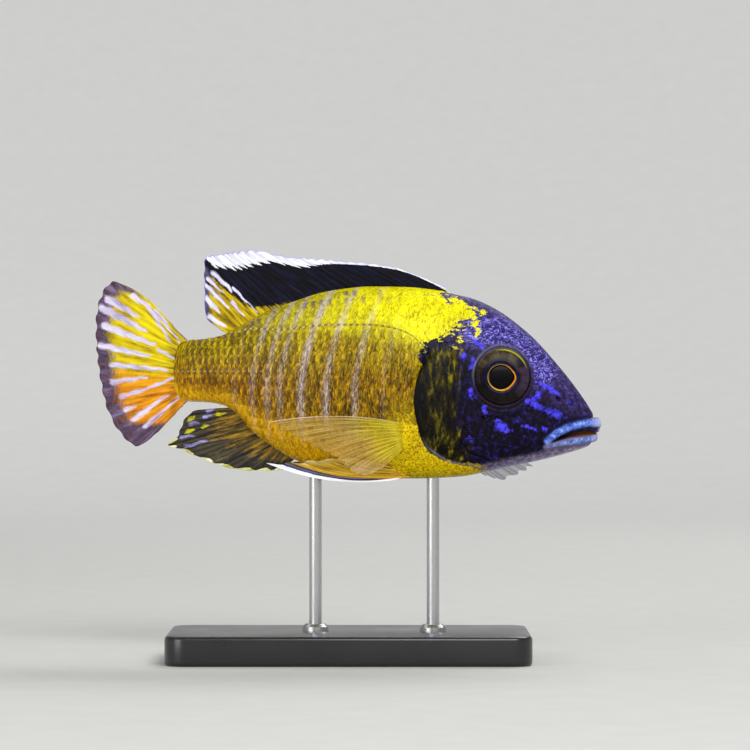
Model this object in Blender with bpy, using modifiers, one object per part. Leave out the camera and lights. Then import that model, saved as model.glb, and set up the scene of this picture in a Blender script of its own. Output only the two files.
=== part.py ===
"""A male peacock cichlid, life size, swimming on a plain display stand.

The body is one smooth form given by its outlines, parted by thin cuts into head, lips, jaw,
gill covers, trunk and tail. Fins are thin plates spread over their rays. Lengths in the
tables below are millimetres; the scene is in metres, +X towards the head, +Z up, with the
origin at the middle of the stand's underside.
"""

import math

import bmesh
import bpy
from mathutils import Vector

MM = 0.001
GAP = 0.35

# Outlines of the body seen from its side, as (distance towards the snout, height).
SNOUT = (60.0, 55.2)
BACK_LINE = [
    (-40.2, 76.4), (-33.1, 77.0), (-28.6, 78.3), (-20.7, 82.6), (-14.0, 85.1), (-4.5, 87.9),
    (5.2, 88.9), (13.1, 88.8), (21.2, 88.0), (28.8, 86.4), (34.3, 84.1), (42.6, 78.1),
    (50.7, 69.3), (56.4, 61.7), (58.3, 58.6), (59.4, 57.2), (60.0, 55.2),
]
BELLY_LINE = [
    (-40.2, 61.4), (-34.3, 61.1), (-30.2, 60.5), (-27.4, 58.9), (-22.7, 54.0), (-17.6, 50.3),
    (-11.7, 46.9), (-6.9, 45.2), (0.2, 43.9), (7.4, 43.2), (16.0, 43.0), (25.5, 43.4),
    (37.1, 45.7), (46.7, 47.8), (54.0, 49.8), (57.1, 50.9), (58.7, 52.2), (60.0, 55.2),
]
WIDEST_LINE = [
    (-40.2, 69.0), (-30.0, 69.0), (-20.0, 68.0), (-8.0, 65.5), (6.0, 63.5), (20.0, 62.0),
    (36.0, 59.5), (46.0, 57.0), (54.0, 55.4), (60.0, 55.2),
]
HALF_WIDTH = [
    (-40.2, 2.0), (-34.0, 3.1), (-28.0, 4.3), (-20.0, 6.3), (-10.0, 8.3), (0.0, 9.5),
    (12.0, 10.1), (22.0, 9.9), (32.0, 9.2), (40.0, 8.4), (47.0, 7.2), (53.0, 5.6),
    (57.0, 3.9), (59.2, 2.0), (60.0, 0.0),
]
LOWER_FULLNESS = 0.88

# The body swings to its left behind the shoulder; the tail tip is this far out of line.
SWING_START = 14.0
SWING_END = -60.0
TAIL_SWING = 22.0

# The free rear edge of the gill cover and the nape line above it, as (height, distance).
GILL_EDGE = [
    (43.5, 35.0), (46.0, 30.0), (47.6, 23.0), (50.7, 18.6), (54.3, 17.0), (61.9, 15.7),
    (68.6, 16.9), (72.6, 20.0), (80.0, 24.0), (88.0, 27.5),
]
GILL_PLATE = 1.3
GILL_OUTLINE = [
    (26.5, 72.4), (25.7, 66.0), (25.7, 56.0), (26.8, 51.0), (29.0, 48.6), (20.0, 44.5),
    (8.0, 44.5), (8.0, 72.4),
]
TAIL_CUT = -29.2
CAUDAL_ROOT = -40.2

# Mouth: the lips part a little; all of it lies ahead of and below this outline of the head.
MOUTH_ROOM = [
    (64.0, 58.9), (58.2, 58.5), (53.7, 57.25), (50.0, 55.75), (46.2, 52.9), (46.2, 50.2),
    (42.9, 48.2), (38.6, 45.6), (36.0, 40.0), (64.0, 40.0),
]
UPPER_LIP = [
    (64.0, 58.6), (58.2, 58.2), (53.8, 56.9), (50.2, 55.4), (46.6, 52.6), (46.6, 51.9),
    (48.4, 52.7), (51.4, 53.9), (56.2, 54.8), (64.0, 55.6),
]
LOWER_JAW = [
    (64.0, 53.8), (58.8, 53.6), (55.0, 53.2), (51.4, 52.7), (48.3, 51.6), (46.6, 50.3),
    (43.1, 48.0), (39.2, 45.6), (37.0, 40.0), (64.0, 40.0),
]

EYE_AT = (36.4, 67.4)
EYE_RADII = (6.75, 7.05)
EYE_DOME = 1.5
EYE_BACK = 3.4
EYE_SINK = 0.35
EYE_LIFT = math.radians(8)
EYE_FORWARD = math.radians(6)

# Fins as rays: where a ray leaves the body, then its tip.
DORSAL_RAYS = [
    (24.2, 23.4, 88.8), (21.0, 9.3, 93.9), (9.5, -4.5, 95.4), (-1.7, -15.2, 96.3),
    (-7.1, -23.6, 98.0), (-16.2, -30.7, 97.0), (-20.7, -34.5, 96.4), (-23.6, -34.9, 91.7),
    (-26.0, -34.9, 87.6), (-27.4, -34.5, 82.0), (-28.4, -30.6, 78.6),
]
ANAL_RAYS = [
    (-12.6, -16.0, 45.2), (-15.2, -20.1, 44.9), (-17.0, -24.8, 45.0), (-18.9, -30.5, 46.0),
    (-20.9, -35.3, 47.6), (-22.9, -40.0, 50.2), (-24.3, -43.0, 51.0), (-25.6, -41.2, 53.6),
    (-26.6, -40.0, 56.6), (-27.3, -37.4, 59.2), (-27.9, -33.0, 59.7),
]
CAUDAL_RAYS = [
    (76.0, -43.4, 81.2), (75.4, -48.3, 86.5), (74.6, -55.2, 90.0), (73.4, -58.6, 87.0),
    (72.0, -59.8, 81.4), (70.2, -60.0, 75.6), (68.4, -59.3, 71.0), (66.6, -57.9, 65.8),
    (65.0, -56.2, 60.2), (63.8, -52.9, 53.4), (62.9, -49.9, 51.2), (62.2, -46.4, 54.2),
    (61.8, -42.4, 58.2),
]
# Each paired fin has a root line on the flank, from its upper end to its lower end.
PELVIC_ROOT = ((14.4, 43.7), (10.6, 45.9))
PELVIC_TIPS = [(-18.8, 46.9), (-12.5, 47.2), (-6.5, 47.8), (0.0, 48.3), (6.0, 47.5)]
PELVIC_SAG = 2.6
PELVIC_CLEAR = 1.1
PECTORAL_ROOT = ((13.8, 56.4), (12.1, 48.3))
# Rays of a pectoral fin, as (droop folded back, droop swept forward, length).
PECTORAL_RAYS = [
    (-1.0, 19.0, 29.6), (0.0, 22.0, 27.0), (4.0, 29.0, 23.1), (8.0, 32.0, 19.3),
    (12.5, 34.0, 15.8), (19.0, 36.0, 13.5), (28.0, 38.0, 11.7), (34.0, 40.0, 9.3),
    (32.0, 42.0, 4.5),
]
PECTORAL_ARCH = 1.6
NEAR_FLARE = 0.06
FAR_REACH = 1.15
FAR_OUT = math.radians(22)
FIN_THICK = 0.9
FIN_EDGE = 0.62
FIN_CLEAR = 0.4

STAND_SIZE = (86.0, 46.0, 7.0)
STAND_CORNER = 5.0
STAND_EDGE = 0.8
ROD_RADIUS = 1.5
ROD_BORE = ROD_RADIUS + GAP
ROD_PLACES = {"front": 20.0, "rear": -8.0}
ROD_IN_BASE = 4.0
ROD_IN_BODY = 4.5

# How finely the forms are divided.
RING = 32
NOSE_REACH = 20.0
NOSE_RINGS = 12
CHEEK_RINGS = 6
TRUNK_RINGS = 15
TAIL_RINGS = 5
ROD_SIDES = 20
# Each fin's number of rays, then the steps along a ray.
DORSAL_GRID = (31, 4)
ANAL_GRID = (19, 4)
CAUDAL_GRID = (27, 5)
PELVIC_GRID = (9, 9)
PECTORAL_GRID = (15, 6)
# Cutters reach this far out, and a gill plate's ends this near to the middle of the head.
HALF_ROOM = 15.0
GILL_INNER = 2.0
UNDER_PLATE_STATIONS = range(0, 46, 3)
BORE_OUTSIDE = 4.0
SMOOTH_ANGLE = math.radians(40)

COLOURS = {
    "skin_blue": (0.05, 0.05, 0.30, 1.0),
    "lip_blue": (0.25, 0.35, 0.80, 1.0),
    "gill_olive": (0.10, 0.09, 0.03, 1.0),
    "flank_yellow": (0.62, 0.45, 0.02, 1.0),
    "fin_dark": (0.02, 0.02, 0.03, 1.0),
    "fin_yellow": (0.75, 0.50, 0.05, 1.0),
    "fin_clear": (0.60, 0.52, 0.30, 1.0),
    "eye_black": (0.01, 0.01, 0.01, 1.0),
    "stand_black": (0.02, 0.02, 0.02, 1.0),
    "stand_steel": (0.55, 0.55, 0.56, 1.0),
}


def clear_scene():
    for old in list(bpy.data.objects):
        bpy.data.objects.remove(old, do_unlink=True)


def new_collection(name):
    made = bpy.data.collections.new(name)
    bpy.context.scene.collection.children.link(made)
    return made


def material(name, roughness=0.4, metallic=0.0):
    made = bpy.data.materials.get(name)
    if made is None:
        made = bpy.data.materials.new(name)
        made.use_nodes = True
        shader = made.node_tree.nodes["Principled BSDF"]
        shader.inputs["Base Color"].default_value = COLOURS[name]
        shader.inputs["Roughness"].default_value = roughness
        shader.inputs["Metallic"].default_value = metallic
    return made


def smooth(keys, x):
    """The value at x of the curve through keys, which never overshoots between two of them."""
    if x <= keys[0][0]:
        return keys[0][1]
    if x >= keys[-1][0]:
        return keys[-1][1]
    i = max(k for k in range(len(keys) - 1) if keys[k][0] <= x)
    slopes = [(b[1] - a[1]) / (b[0] - a[0]) for a, b in zip(keys, keys[1:])]

    def tangent(k):
        if k in (0, len(keys) - 1):
            return slopes[min(k, len(slopes) - 1)]
        before, after = slopes[k - 1], slopes[k]
        return 0.0 if before * after <= 0 else 2 * before * after / (before + after)

    width = keys[i + 1][0] - keys[i][0]
    t = (x - keys[i][0]) / width
    start = (2 * t**3 - 3 * t**2 + 1) * keys[i][1] + (t**3 - 2 * t**2 + t) * width * tangent(i)
    end = (3 * t**2 - 2 * t**3) * keys[i + 1][1] + (t**3 - t**2) * width * tangent(i + 1)
    return start + end


def column(keys, at):
    """The pairs (first value, value number at) of each row."""
    return [(row[0], row[at]) for row in keys]


def place(u, n, z):
    """World place of a body point: u along the fish, n out to its left, z up."""
    pull = TAIL_SWING / (SWING_START - SWING_END) ** 2
    behind = max(SWING_START - u, 0.0)
    slope = 2 * pull * behind
    turn = math.sqrt(1 + slope**2)
    return Vector((u + n * slope / turn, pull * behind**2 + n / turn, z)) * MM


def skin_point(u, angle, inset=0.0):
    """(u, n, z) on the body, angle 0 at the back ridge, a quarter turn at the left flank."""
    middle = smooth(WIDEST_LINE, u)
    half = max(smooth(HALF_WIDTH, u) - inset, 0.0)
    up, out = math.cos(angle), math.sin(angle)
    if up >= 0:
        rise = smooth(BACK_LINE, u) - middle - inset
        spread = abs(out)
    else:
        rise = middle - smooth(BELLY_LINE, u) - inset
        spread = abs(out) ** LOWER_FULLNESS
    return u, math.copysign(half * spread, out), middle + rise * up


def half_width_at(u, z):
    middle = smooth(WIDEST_LINE, u)
    above = z >= middle
    reach = smooth(BACK_LINE, u) - middle if above else middle - smooth(BELLY_LINE, u)
    up = min(abs(z - middle) / reach, 1.0)
    spread = math.sqrt(1 - up**2)
    return smooth(HALF_WIDTH, u) * (spread if above else spread**LOWER_FULLNESS)


def gill_edge_at(angle, shift):
    """How far forward the gill edge lies on this line of the body, moved back by shift."""
    u = GILL_EDGE[4][1]
    settling_steps = 12
    for _ in range(settling_steps):
        z = skin_point(u, angle)[2]
        half_step = 0.5
        lean = smooth(GILL_EDGE, z + half_step) - smooth(GILL_EDGE, z - half_step)
        goal = smooth(GILL_EDGE, z) - shift * math.sqrt(1 + lean**2)
        u = (u + goal) / 2
    return u


def turn_of(k):
    return 2 * math.pi * k / RING


def ring_at(u_of_angle, inset=0.0):
    return [place(*skin_point(u_of_angle(turn_of(k)), turn_of(k), inset)) for k in range(RING)]


def loft(name, rings, look, collection, tip=None):
    """A closed body through rings. Flat ends join each left point to the right one across."""
    mesh = bmesh.new()
    rows = [[mesh.verts.new(point) for point in ring] for ring in rings]
    for near, far in zip(rows, rows[1:]):
        for k in range(RING):
            after = (k + 1) % RING
            mesh.faces.new((near[k], near[after], far[after], far[k]))
    flat_ends = [rows[-1]] if tip else [rows[0], rows[-1]]
    for row in flat_ends:
        for k in range(RING // 2):
            corners = (row[k], row[k + 1], row[(RING - k - 1) % RING], row[-k % RING])
            mesh.faces.new(list(dict.fromkeys(corners)))
    if tip:
        point = mesh.verts.new(tip)
        for k in range(RING):
            mesh.faces.new((rows[0][k], rows[0][(k + 1) % RING], point))
    return solid(name, mesh, look, collection)


def solid(name, mesh, look, collection):
    bmesh.ops.recalc_face_normals(mesh, faces=mesh.faces)
    data = bpy.data.meshes.new(name)
    mesh.to_mesh(data)
    mesh.free()
    data.shade_smooth()
    data.set_sharp_from_angle(angle=SMOOTH_ANGLE)
    data.materials.append(look)
    made = bpy.data.objects.new(name, data)
    collection.objects.link(made)
    return made


def head_rings():
    """Rings crowd at the round snout, and lean over to end along the gill edge."""
    front = [SNOUT[0] - NOSE_REACH * (i / NOSE_RINGS) ** 2 for i in range(1, NOSE_RINGS + 1)]
    rings = [ring_at(lambda angle, u=u: u) for u in front]
    last = front[-1]
    for i in range(1, CHEEK_RINGS + 1):
        part = i / CHEEK_RINGS
        rings.append(ring_at(lambda a, p=part: last + (gill_edge_at(a, 0.0) - last) * p))
    return rings


def prism(name, outline, low, high, collection):
    """A cutter: an outline in side view, given width from low to high across the fish."""
    mesh = bmesh.new()
    sides = [[mesh.verts.new((u * MM, n * MM, z * MM)) for u, z in outline] for n in (low, high)]
    mesh.faces.new(sides[0])
    mesh.faces.new(sides[1])
    for k in range(len(outline)):
        after = (k + 1) % len(outline)
        mesh.faces.new((sides[0][k], sides[0][after], sides[1][after], sides[1][k]))
    return cutter(solid(name, mesh, material("skin_blue"), collection))


def cutter(made):
    made.hide_render = True
    made.display_type = "WIRE"
    return made


def cut(target, tool, operation="DIFFERENCE"):
    change = target.modifiers.new(operation.lower() + "_" + tool.name, "BOOLEAN")
    change.operation = operation
    change.object = tool
    change.solver = "EXACT"


def grown(outline, by):
    """The outline moved outwards by the same distance everywhere."""
    count = len(outline)
    area = sum(
        outline[k][0] * outline[(k + 1) % count][1] - outline[(k + 1) % count][0] * outline[k][1]
        for k in range(count)
    )
    side = 1.0 if area > 0 else -1.0
    sharpest = 0.4
    moved = []
    for k in range(count):
        here = Vector(outline[k])
        into = (here - Vector(outline[k - 1])).normalized()
        out = (Vector(outline[(k + 1) % count]) - here).normalized()
        normal_in = Vector((into.y, -into.x)) * side
        normal_out = Vector((out.y, -out.x)) * side
        corner = normal_in + normal_out
        moved.append(tuple(here + corner * by / max(corner.dot(normal_in), sharpest)))
    return moved


def build_head(parts, cutters):
    rings = head_rings()
    tip = place(SNOUT[0], 0.0, SNOUT[1])
    blue = material("skin_blue")
    head = loft("head", rings, blue, parts, tip)
    cut(head, prism("mouth_room", MOUTH_ROOM, -HALF_ROOM, HALF_ROOM, cutters))

    upper = loft("upper_lip", rings, material("lip_blue"), parts, tip)
    cut(upper, prism("upper_lip_form", UPPER_LIP, -HALF_ROOM, HALF_ROOM, cutters), "INTERSECT")
    lower = loft("lower_jaw", rings, material("lip_blue"), parts, tip)
    cut(lower, prism("lower_jaw_form", LOWER_JAW, -HALF_ROOM, HALF_ROOM, cutters), "INTERSECT")

    def inner(name, inset):
        hull = [ring_at(lambda angle, u=u: u, inset) for u in UNDER_PLATE_STATIONS]
        return cutter(loft(name, hull, blue, cutters))

    under_plate = inner("under_plate", GILL_PLATE)
    under_recess = inner("under_recess", GILL_PLATE + GAP)
    sides = (("right", -HALF_ROOM, -GILL_INNER), ("left", GILL_INNER, HALF_ROOM))
    for side, low, high in sides:
        cover = loft("gill_cover_" + side, rings, material("gill_olive"), parts, tip)
        form = prism("gill_form_" + side, GILL_OUTLINE, low, high, cutters)
        cut(cover, form, "INTERSECT")
        cut(cover, under_plate)
        recess = prism(
            "gill_recess_" + side, grown(GILL_OUTLINE, GAP), low - GAP, high + GAP, cutters
        )
        cut(recess, under_recess)
        cut(head, recess)
    for side, sign in (("right", -1), ("left", 1)):
        cut(head, cutter(eyeball("eye_socket_" + side, sign, GAP, cutters)))
        eyeball("eye_" + side, sign, 0.0, parts)


def eyeball(name, sign, grow, collection):
    """A flat dome in front of the rim and a deeper bowl behind it, looking out of the head."""
    bpy.ops.mesh.primitive_uv_sphere_add(segments=24, ring_count=12, radius=1.0)
    made = bpy.context.object
    made.name = name
    for old in made.users_collection:
        old.objects.unlink(made)
    collection.objects.link(made)
    wide, tall = EYE_RADII
    for vert in made.data.vertices:
        x, y, z = vert.co
        depth = (EYE_DOME if z > 0 else EYE_BACK) + grow
        vert.co = ((wide + grow) * x * MM, (tall + grow) * y * MM, depth * z * MM)
    made.data.shade_smooth()
    made.data.materials.append(material("eye_black", roughness=0.1))
    out = Vector(
        (
            math.sin(EYE_FORWARD),
            sign * math.cos(EYE_FORWARD) * math.cos(EYE_LIFT),
            math.sin(EYE_LIFT),
        )
    )
    rim = half_width_at(*EYE_AT)
    made.location = place(EYE_AT[0], sign * rim, EYE_AT[1]) - out * EYE_SINK * MM
    made.rotation_euler = out.to_track_quat("Z", "Y").to_euler()
    return made


def build_trunk(parts, cutters):
    rear = TAIL_CUT + GAP / 2
    rings = []
    for i in range(TRUNK_RINGS + 1):
        part = i / TRUNK_RINGS
        rings.append(ring_at(lambda a, p=part: gill_edge_at(a, GAP) * (1 - p) + rear * p))
    trunk = loft("trunk", rings, material("flank_yellow"), parts)
    for name, u in ROD_PLACES.items():
        belly = smooth(BELLY_LINE, u)
        mouth, end = belly - BORE_OUTSIDE, belly + ROD_IN_BODY + GAP
        cut(trunk, cutter(post("rod_bore_" + name, u, mouth, end, ROD_BORE, cutters)))


def build_tail(parts):
    front = TAIL_CUT - GAP / 2
    length = CAUDAL_ROOT - front
    stations = [front + length * i / TAIL_RINGS for i in range(TAIL_RINGS + 1)]
    rings = [ring_at(lambda angle, u=u: u) for u in stations]
    loft("tail", rings, material("flank_yellow"), parts)


def fin(name, grid, look, collection):
    """A thin plate over the grid, one row of places per ray, thinner towards the tips."""
    mesh = bmesh.new()
    rows = [[mesh.verts.new(point) for point in ray] for ray in grid]
    for ray, after in zip(rows, rows[1:]):
        for k in range(len(ray) - 1):
            mesh.faces.new((ray[k], ray[k + 1], after[k + 1], after[k]))
    made = solid(name, mesh, look, collection)
    steps = len(grid[0])
    thickness = made.vertex_groups.new(name="thickness")
    for index in range(len(made.data.vertices)):
        along = (index % steps) / (steps - 1)
        thickness.add([index], 1 - along * (1 - FIN_EDGE / FIN_THICK), "REPLACE")
    shell = made.modifiers.new("thickness", "SOLIDIFY")
    shell.thickness = FIN_THICK * MM
    shell.offset = 0.0
    shell.vertex_group = "thickness"
    return made


def resample(keys, count):
    """Rows of numbers spread evenly from the first key to the last, along smooth curves."""
    pace = [(float(i),) + tuple(row) for i, row in enumerate(keys)]
    width = len(keys[0])
    rows = []
    for i in range(count):
        at = (len(keys) - 1) * i / (count - 1)
        rows.append([smooth(column(pace, k + 1), at) for k in range(width)])
    return rows


def straight_ray(root, tip, steps):
    return [root.lerp(tip, k / steps) for k in range(steps + 1)]


def median_fin(name, rays, line, lift, size, look, parts):
    count, steps = size
    grid = []
    for base_u, tip_u, tip_z in resample(rays, count):
        root = Vector((base_u, 0.0, smooth(line, base_u) + lift))
        tip = Vector((tip_u, 0.0, tip_z))
        grid.append([place(*point) for point in straight_ray(root, tip, steps)])
    return fin(name, grid, look, parts)


def build_median_fins(parts):
    dark, yellow = material("fin_dark"), material("fin_yellow")
    median_fin("dorsal_fin", DORSAL_RAYS, BACK_LINE, FIN_CLEAR, DORSAL_GRID, dark, parts)
    median_fin("anal_fin", ANAL_RAYS, BELLY_LINE, -FIN_CLEAR, ANAL_GRID, dark, parts)
    count, steps = CAUDAL_GRID
    grid = []
    for base_z, tip_u, tip_z in resample(CAUDAL_RAYS, count):
        root = Vector((CAUDAL_ROOT - FIN_CLEAR, 0.0, base_z))
        tip = Vector((tip_u, 0.0, tip_z))
        grid.append([place(*point) for point in straight_ray(root, tip, steps)])
    fin("caudal_fin", grid, yellow, parts)


def beside(u, z, clear):
    """How far out a point must lie to clear the flank, or the belly's edge if it is lower."""
    keel = 1.0
    low = smooth(BELLY_LINE, u) + keel
    return half_width_at(u, max(z, low)) + clear


def build_pelvic_fins(parts):
    (lead_u, lead_z), (rear_u, rear_z) = PELVIC_ROOT
    rays, steps = PELVIC_GRID
    for side, sign in (("right", -1), ("left", 1)):
        grid = []
        for i, (tip_u, tip_z) in enumerate(resample(PELVIC_TIPS, rays)):
            part = i / (rays - 1)
            root_u = lead_u + (rear_u - lead_u) * part
            root_z = lead_z + (rear_z - lead_z) * part
            ray = []
            for k in range(steps + 1):
                t = k / steps
                u = root_u + (tip_u - root_u) * t
                z = root_z + (tip_z - root_z) * t - PELVIC_SAG * (1 - part) * 4 * t * (1 - t)
                ray.append(place(u, sign * beside(u, z, PELVIC_CLEAR), z))
            grid.append(ray)
        fin("pelvic_fin_" + side, grid, material("fin_clear"), parts)


def build_pectoral_fins(parts):
    """The right fin lies folded back along the flank; the left one is swept forward."""
    (top_u, top_z), (low_u, low_z) = PECTORAL_ROOT
    rays, steps = PECTORAL_GRID
    near, far = [], []
    for i, (back, forward, length) in enumerate(resample(PECTORAL_RAYS, rays)):
        part = i / (rays - 1)
        root_u = top_u + (low_u - top_u) * part
        root_z = top_z + (low_z - top_z) * part
        root_n = half_width_at(root_u, root_z) + FIN_CLEAR + FIN_THICK / 2
        back, forward = math.radians(back), math.radians(forward)
        near_ray, far_ray = [], []
        for k in range(steps + 1):
            t = k / steps
            arch = PECTORAL_ARCH * (1 - part) * 4 * t * (1 - t)
            reach = length * t
            u = root_u - reach * math.cos(back)
            z = root_z - reach * math.sin(back) + arch
            near_ray.append(place(u, -(root_n + reach * NEAR_FLARE), z))
            reach = FAR_REACH * length * t
            u = root_u + reach * math.cos(forward) * math.cos(FAR_OUT)
            z = root_z - reach * math.sin(forward) * math.cos(FAR_OUT) + arch
            far_ray.append(place(u, root_n + reach * math.sin(FAR_OUT), z))
        near.append(near_ray)
        far.append(far_ray)
    fin("pectoral_fin_right", near, material("fin_clear"), parts)
    fin("pectoral_fin_left", far, material("fin_clear"), parts)


def post(name, u, low, high, radius, collection):
    """An upright round bar on the middle line of the body."""
    middle = place(u, 0.0, (low + high) / 2)
    bpy.ops.mesh.primitive_cylinder_add(
        vertices=ROD_SIDES,
        radius=radius * MM,
        depth=(high - low) * MM,
        location=middle,
    )
    made = bpy.context.object
    made.name = name
    for old in made.users_collection:
        old.objects.unlink(made)
    collection.objects.link(made)
    made.data.shade_smooth()
    made.data.set_sharp_from_angle(angle=SMOOTH_ANGLE)
    made.data.materials.append(material("stand_steel", roughness=0.25, metallic=1.0))
    return made


def build_stand(parts, cutters):
    """A slab with round corners and softened edges, bored for two upright rods."""
    height = STAND_SIZE[2]
    mesh = bmesh.new()
    bmesh.ops.create_cube(mesh, size=1.0)
    bmesh.ops.scale(mesh, vec=Vector(STAND_SIZE) * MM, verts=mesh.verts)
    bmesh.ops.translate(mesh, vec=(0.0, 0.0, height / 2 * MM), verts=mesh.verts)
    uprights = [e for e in mesh.edges if abs(e.verts[0].co.z - e.verts[1].co.z) > height / 2 * MM]
    bmesh.ops.bevel(
        mesh, geom=uprights, offset=STAND_CORNER * MM, segments=5, profile=0.5, affect="EDGES"
    )
    base = solid("stand_base", mesh, material("stand_black", roughness=0.3), parts)
    edge = base.modifiers.new("edge", "BEVEL")
    edge.width = STAND_EDGE * MM
    edge.segments = 2
    edge.limit_method = "ANGLE"
    edge.angle_limit = math.radians(60)
    foot = height - ROD_IN_BASE
    for name, u in ROD_PLACES.items():
        mouth = height + BORE_OUTSIDE
        cut(base, cutter(post("base_bore_" + name, u, foot - GAP, mouth, ROD_BORE, cutters)))
        top = smooth(BELLY_LINE, u) + ROD_IN_BODY
        post("stand_rod_" + name, u, foot, top, ROD_RADIUS, parts)


def build():
    clear_scene()
    parts = new_collection("peacock_cichlid")
    cutters = new_collection("cutters")
    build_head(parts, cutters)
    build_trunk(parts, cutters)
    build_tail(parts)
    build_median_fins(parts)
    build_pelvic_fins(parts)
    build_pectoral_fins(parts)
    build_stand(parts, cutters)


build()
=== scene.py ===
import math

import bmesh
import bpy
import numpy as np
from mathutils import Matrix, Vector


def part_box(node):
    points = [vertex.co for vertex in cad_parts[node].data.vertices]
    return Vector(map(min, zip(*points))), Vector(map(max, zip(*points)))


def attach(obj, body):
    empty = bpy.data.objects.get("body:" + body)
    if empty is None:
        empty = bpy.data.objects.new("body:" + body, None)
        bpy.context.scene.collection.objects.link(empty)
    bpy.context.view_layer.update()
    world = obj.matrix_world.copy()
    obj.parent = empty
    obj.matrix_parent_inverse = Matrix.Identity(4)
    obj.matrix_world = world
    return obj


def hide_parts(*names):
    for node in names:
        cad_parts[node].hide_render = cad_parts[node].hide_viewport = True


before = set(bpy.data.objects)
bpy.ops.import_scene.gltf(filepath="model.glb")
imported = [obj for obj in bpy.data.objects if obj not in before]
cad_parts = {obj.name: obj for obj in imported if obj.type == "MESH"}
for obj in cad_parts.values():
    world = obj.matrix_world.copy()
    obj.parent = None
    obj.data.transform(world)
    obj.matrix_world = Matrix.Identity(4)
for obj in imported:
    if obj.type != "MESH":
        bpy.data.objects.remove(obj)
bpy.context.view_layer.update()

# Display stand: base.
# A slab of black cast acrylic, sawn, its edges rounded over and its faces sanded satin.
# It is heavy enough to stand by its own weight; the two rods are glued into it.

MM = 0.001
BASE_CORNER = 5.0 * MM
BASE_EDGE = 0.9 * MM


def linear(hex_colour):
    """sRGB hex to linear RGBA."""
    value = hex_colour.lstrip("#")
    parts = [int(value[k : k + 2], 16) / 255 for k in (0, 2, 4)]
    return tuple(c / 12.92 if c <= 0.04045 else ((c + 0.055) / 1.055) ** 2.4 for c in parts) + (1.0,)


def nodes_of(tree):
    """The function that adds a node to this tree."""

    def add(kind, *inputs, out=0, stops="", **settings):
        """Adds one node and returns one of its outputs, or all of them if out is None.

        The kind may end in its operation, as in "Math ADD". Inputs are filled in order, by value
        or by link, and stops are the places and colours of a ramp.
        """
        kind, _, operation = kind.partition(" ")
        node = tree.nodes.new(kind if "Node" in kind else "ShaderNode" + kind)
        if operation:
            node.operation = operation
        for name, value in settings.items():
            setattr(node, name, value)
        for socket, value in zip(node.inputs, inputs):
            if isinstance(value, bpy.types.NodeSocket):
                tree.links.new(value, socket)
            elif value is not None:
                socket.default_value = linear(value) if str(value).startswith("#") else value
        places, colours = stops.split()[::2], stops.split()[1::2]
        for _ in places[2:]:
            node.color_ramp.elements.new(0.5)
        for k in range(len(places)):
            node.color_ramp.elements[k].position = float(places[k])
            node.color_ramp.elements[k].color = linear(colours[k])
        return node.outputs if out is None else node.outputs[out]

    return add


def new_material(name, **sockets):
    """A material of one Principled BSDF with these values, its node function and its shader."""
    made = bpy.data.materials.new(name)
    made.use_nodes = True
    shader = made.node_tree.nodes["Principled BSDF"]
    for key, value in sockets.items():
        socket = shader.inputs[key.replace("_", " ")]
        socket.default_value = linear(value) if isinstance(value, str) else value
    return made, nodes_of(made.node_tree), shader


def feed(shader, **outputs):
    """Links each output to the shader's socket of that name."""
    for key, output in outputs.items():
        shader.id_data.links.new(output, shader.inputs[key.replace("_", " ")])


def grain_of(add, place, stretch, *noise):
    """Noise drawn out along the axes, from its detail, roughness and so on."""
    return add("TexNoise", add("Mapping", place, None, None, stretch), None, 1.0, *noise)


def new_object(name, data):
    """An object of this mesh, light or camera, in the scene."""
    made = bpy.data.objects.new(name, data)
    bpy.context.scene.collection.objects.link(made)
    return made


def finish_piece(piece, slot, *nodes):
    """Puts the piece under the root body and hides the nodes it stands for. The slot is not used."""
    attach(piece, "root")
    if nodes:
        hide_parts(*nodes)


# Cast acrylic, sanded: near black, a soft gloss broken by the fine scratches of the paper.
acrylic, add, shader = new_material(
    "cast_acrylic_sanded", Base_Color="#0B0B0C", IOR=1.49, Coat_Weight=0.25, Coat_Roughness=0.12
)
place_in = add("TexCoord", out=3)
grit = grain_of(add, place_in, (1200, 6000, 6000), 3.0)
haze = add("TexNoise", place_in, None, 45.0, 4.0, 0.6)
feed(
    shader,
    Roughness=add("MapRange", haze, 0.3, 0.7, 0.26, 0.38),
    Base_Color=add("MixRGB", haze, "#08080A", "#141417"),
    Normal=add("Bump", 0.06, 0.0002, None, grit),
)

low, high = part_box("stand_base")
mesh = bmesh.new()
bmesh.ops.create_cube(mesh, size=1.0)
for vert in mesh.verts:
    for axis in range(3):
        vert.co[axis] = low[axis] if vert.co[axis] < 0 else high[axis]
uprights = [e for e in mesh.edges if abs(e.verts[0].co.z - e.verts[1].co.z) > 0.001]
bmesh.ops.bevel(mesh, geom=uprights, offset=BASE_CORNER, segments=12, profile=0.5, affect="EDGES")
rims = [e for e in mesh.edges if len(e.link_faces) == 2 and e.calc_face_angle() > math.radians(60)]
bmesh.ops.bevel(mesh, geom=rims, offset=BASE_EDGE, segments=5, profile=0.5, affect="EDGES")
bmesh.ops.recalc_face_normals(mesh, faces=mesh.faces)
data = bpy.data.meshes.new("stand_slab")
mesh.to_mesh(data)
mesh.free()
data.shade_smooth()
data.set_sharp_from_angle(angle=math.radians(50))
data.materials.append(acrylic)
finish_piece(new_object("stand_slab", data), "stand_black", "stand_base")

# Display stand: rods.
# Two rods of drawn stainless steel, 3 mm thick, pushed up into the belly. Each passes
# through a small turned collar that covers its hole in the base.

COLLAR_RADIUS, COLLAR_HEIGHT, COLLAR_BEAD = 3.1 * MM, 1.6 * MM, 0.35 * MM
COLLAR_SUNK, COLLAR_ROOM = 0.2 * MM, 0.05 * MM
ROD_CHAMFER = 0.25 * MM


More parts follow.
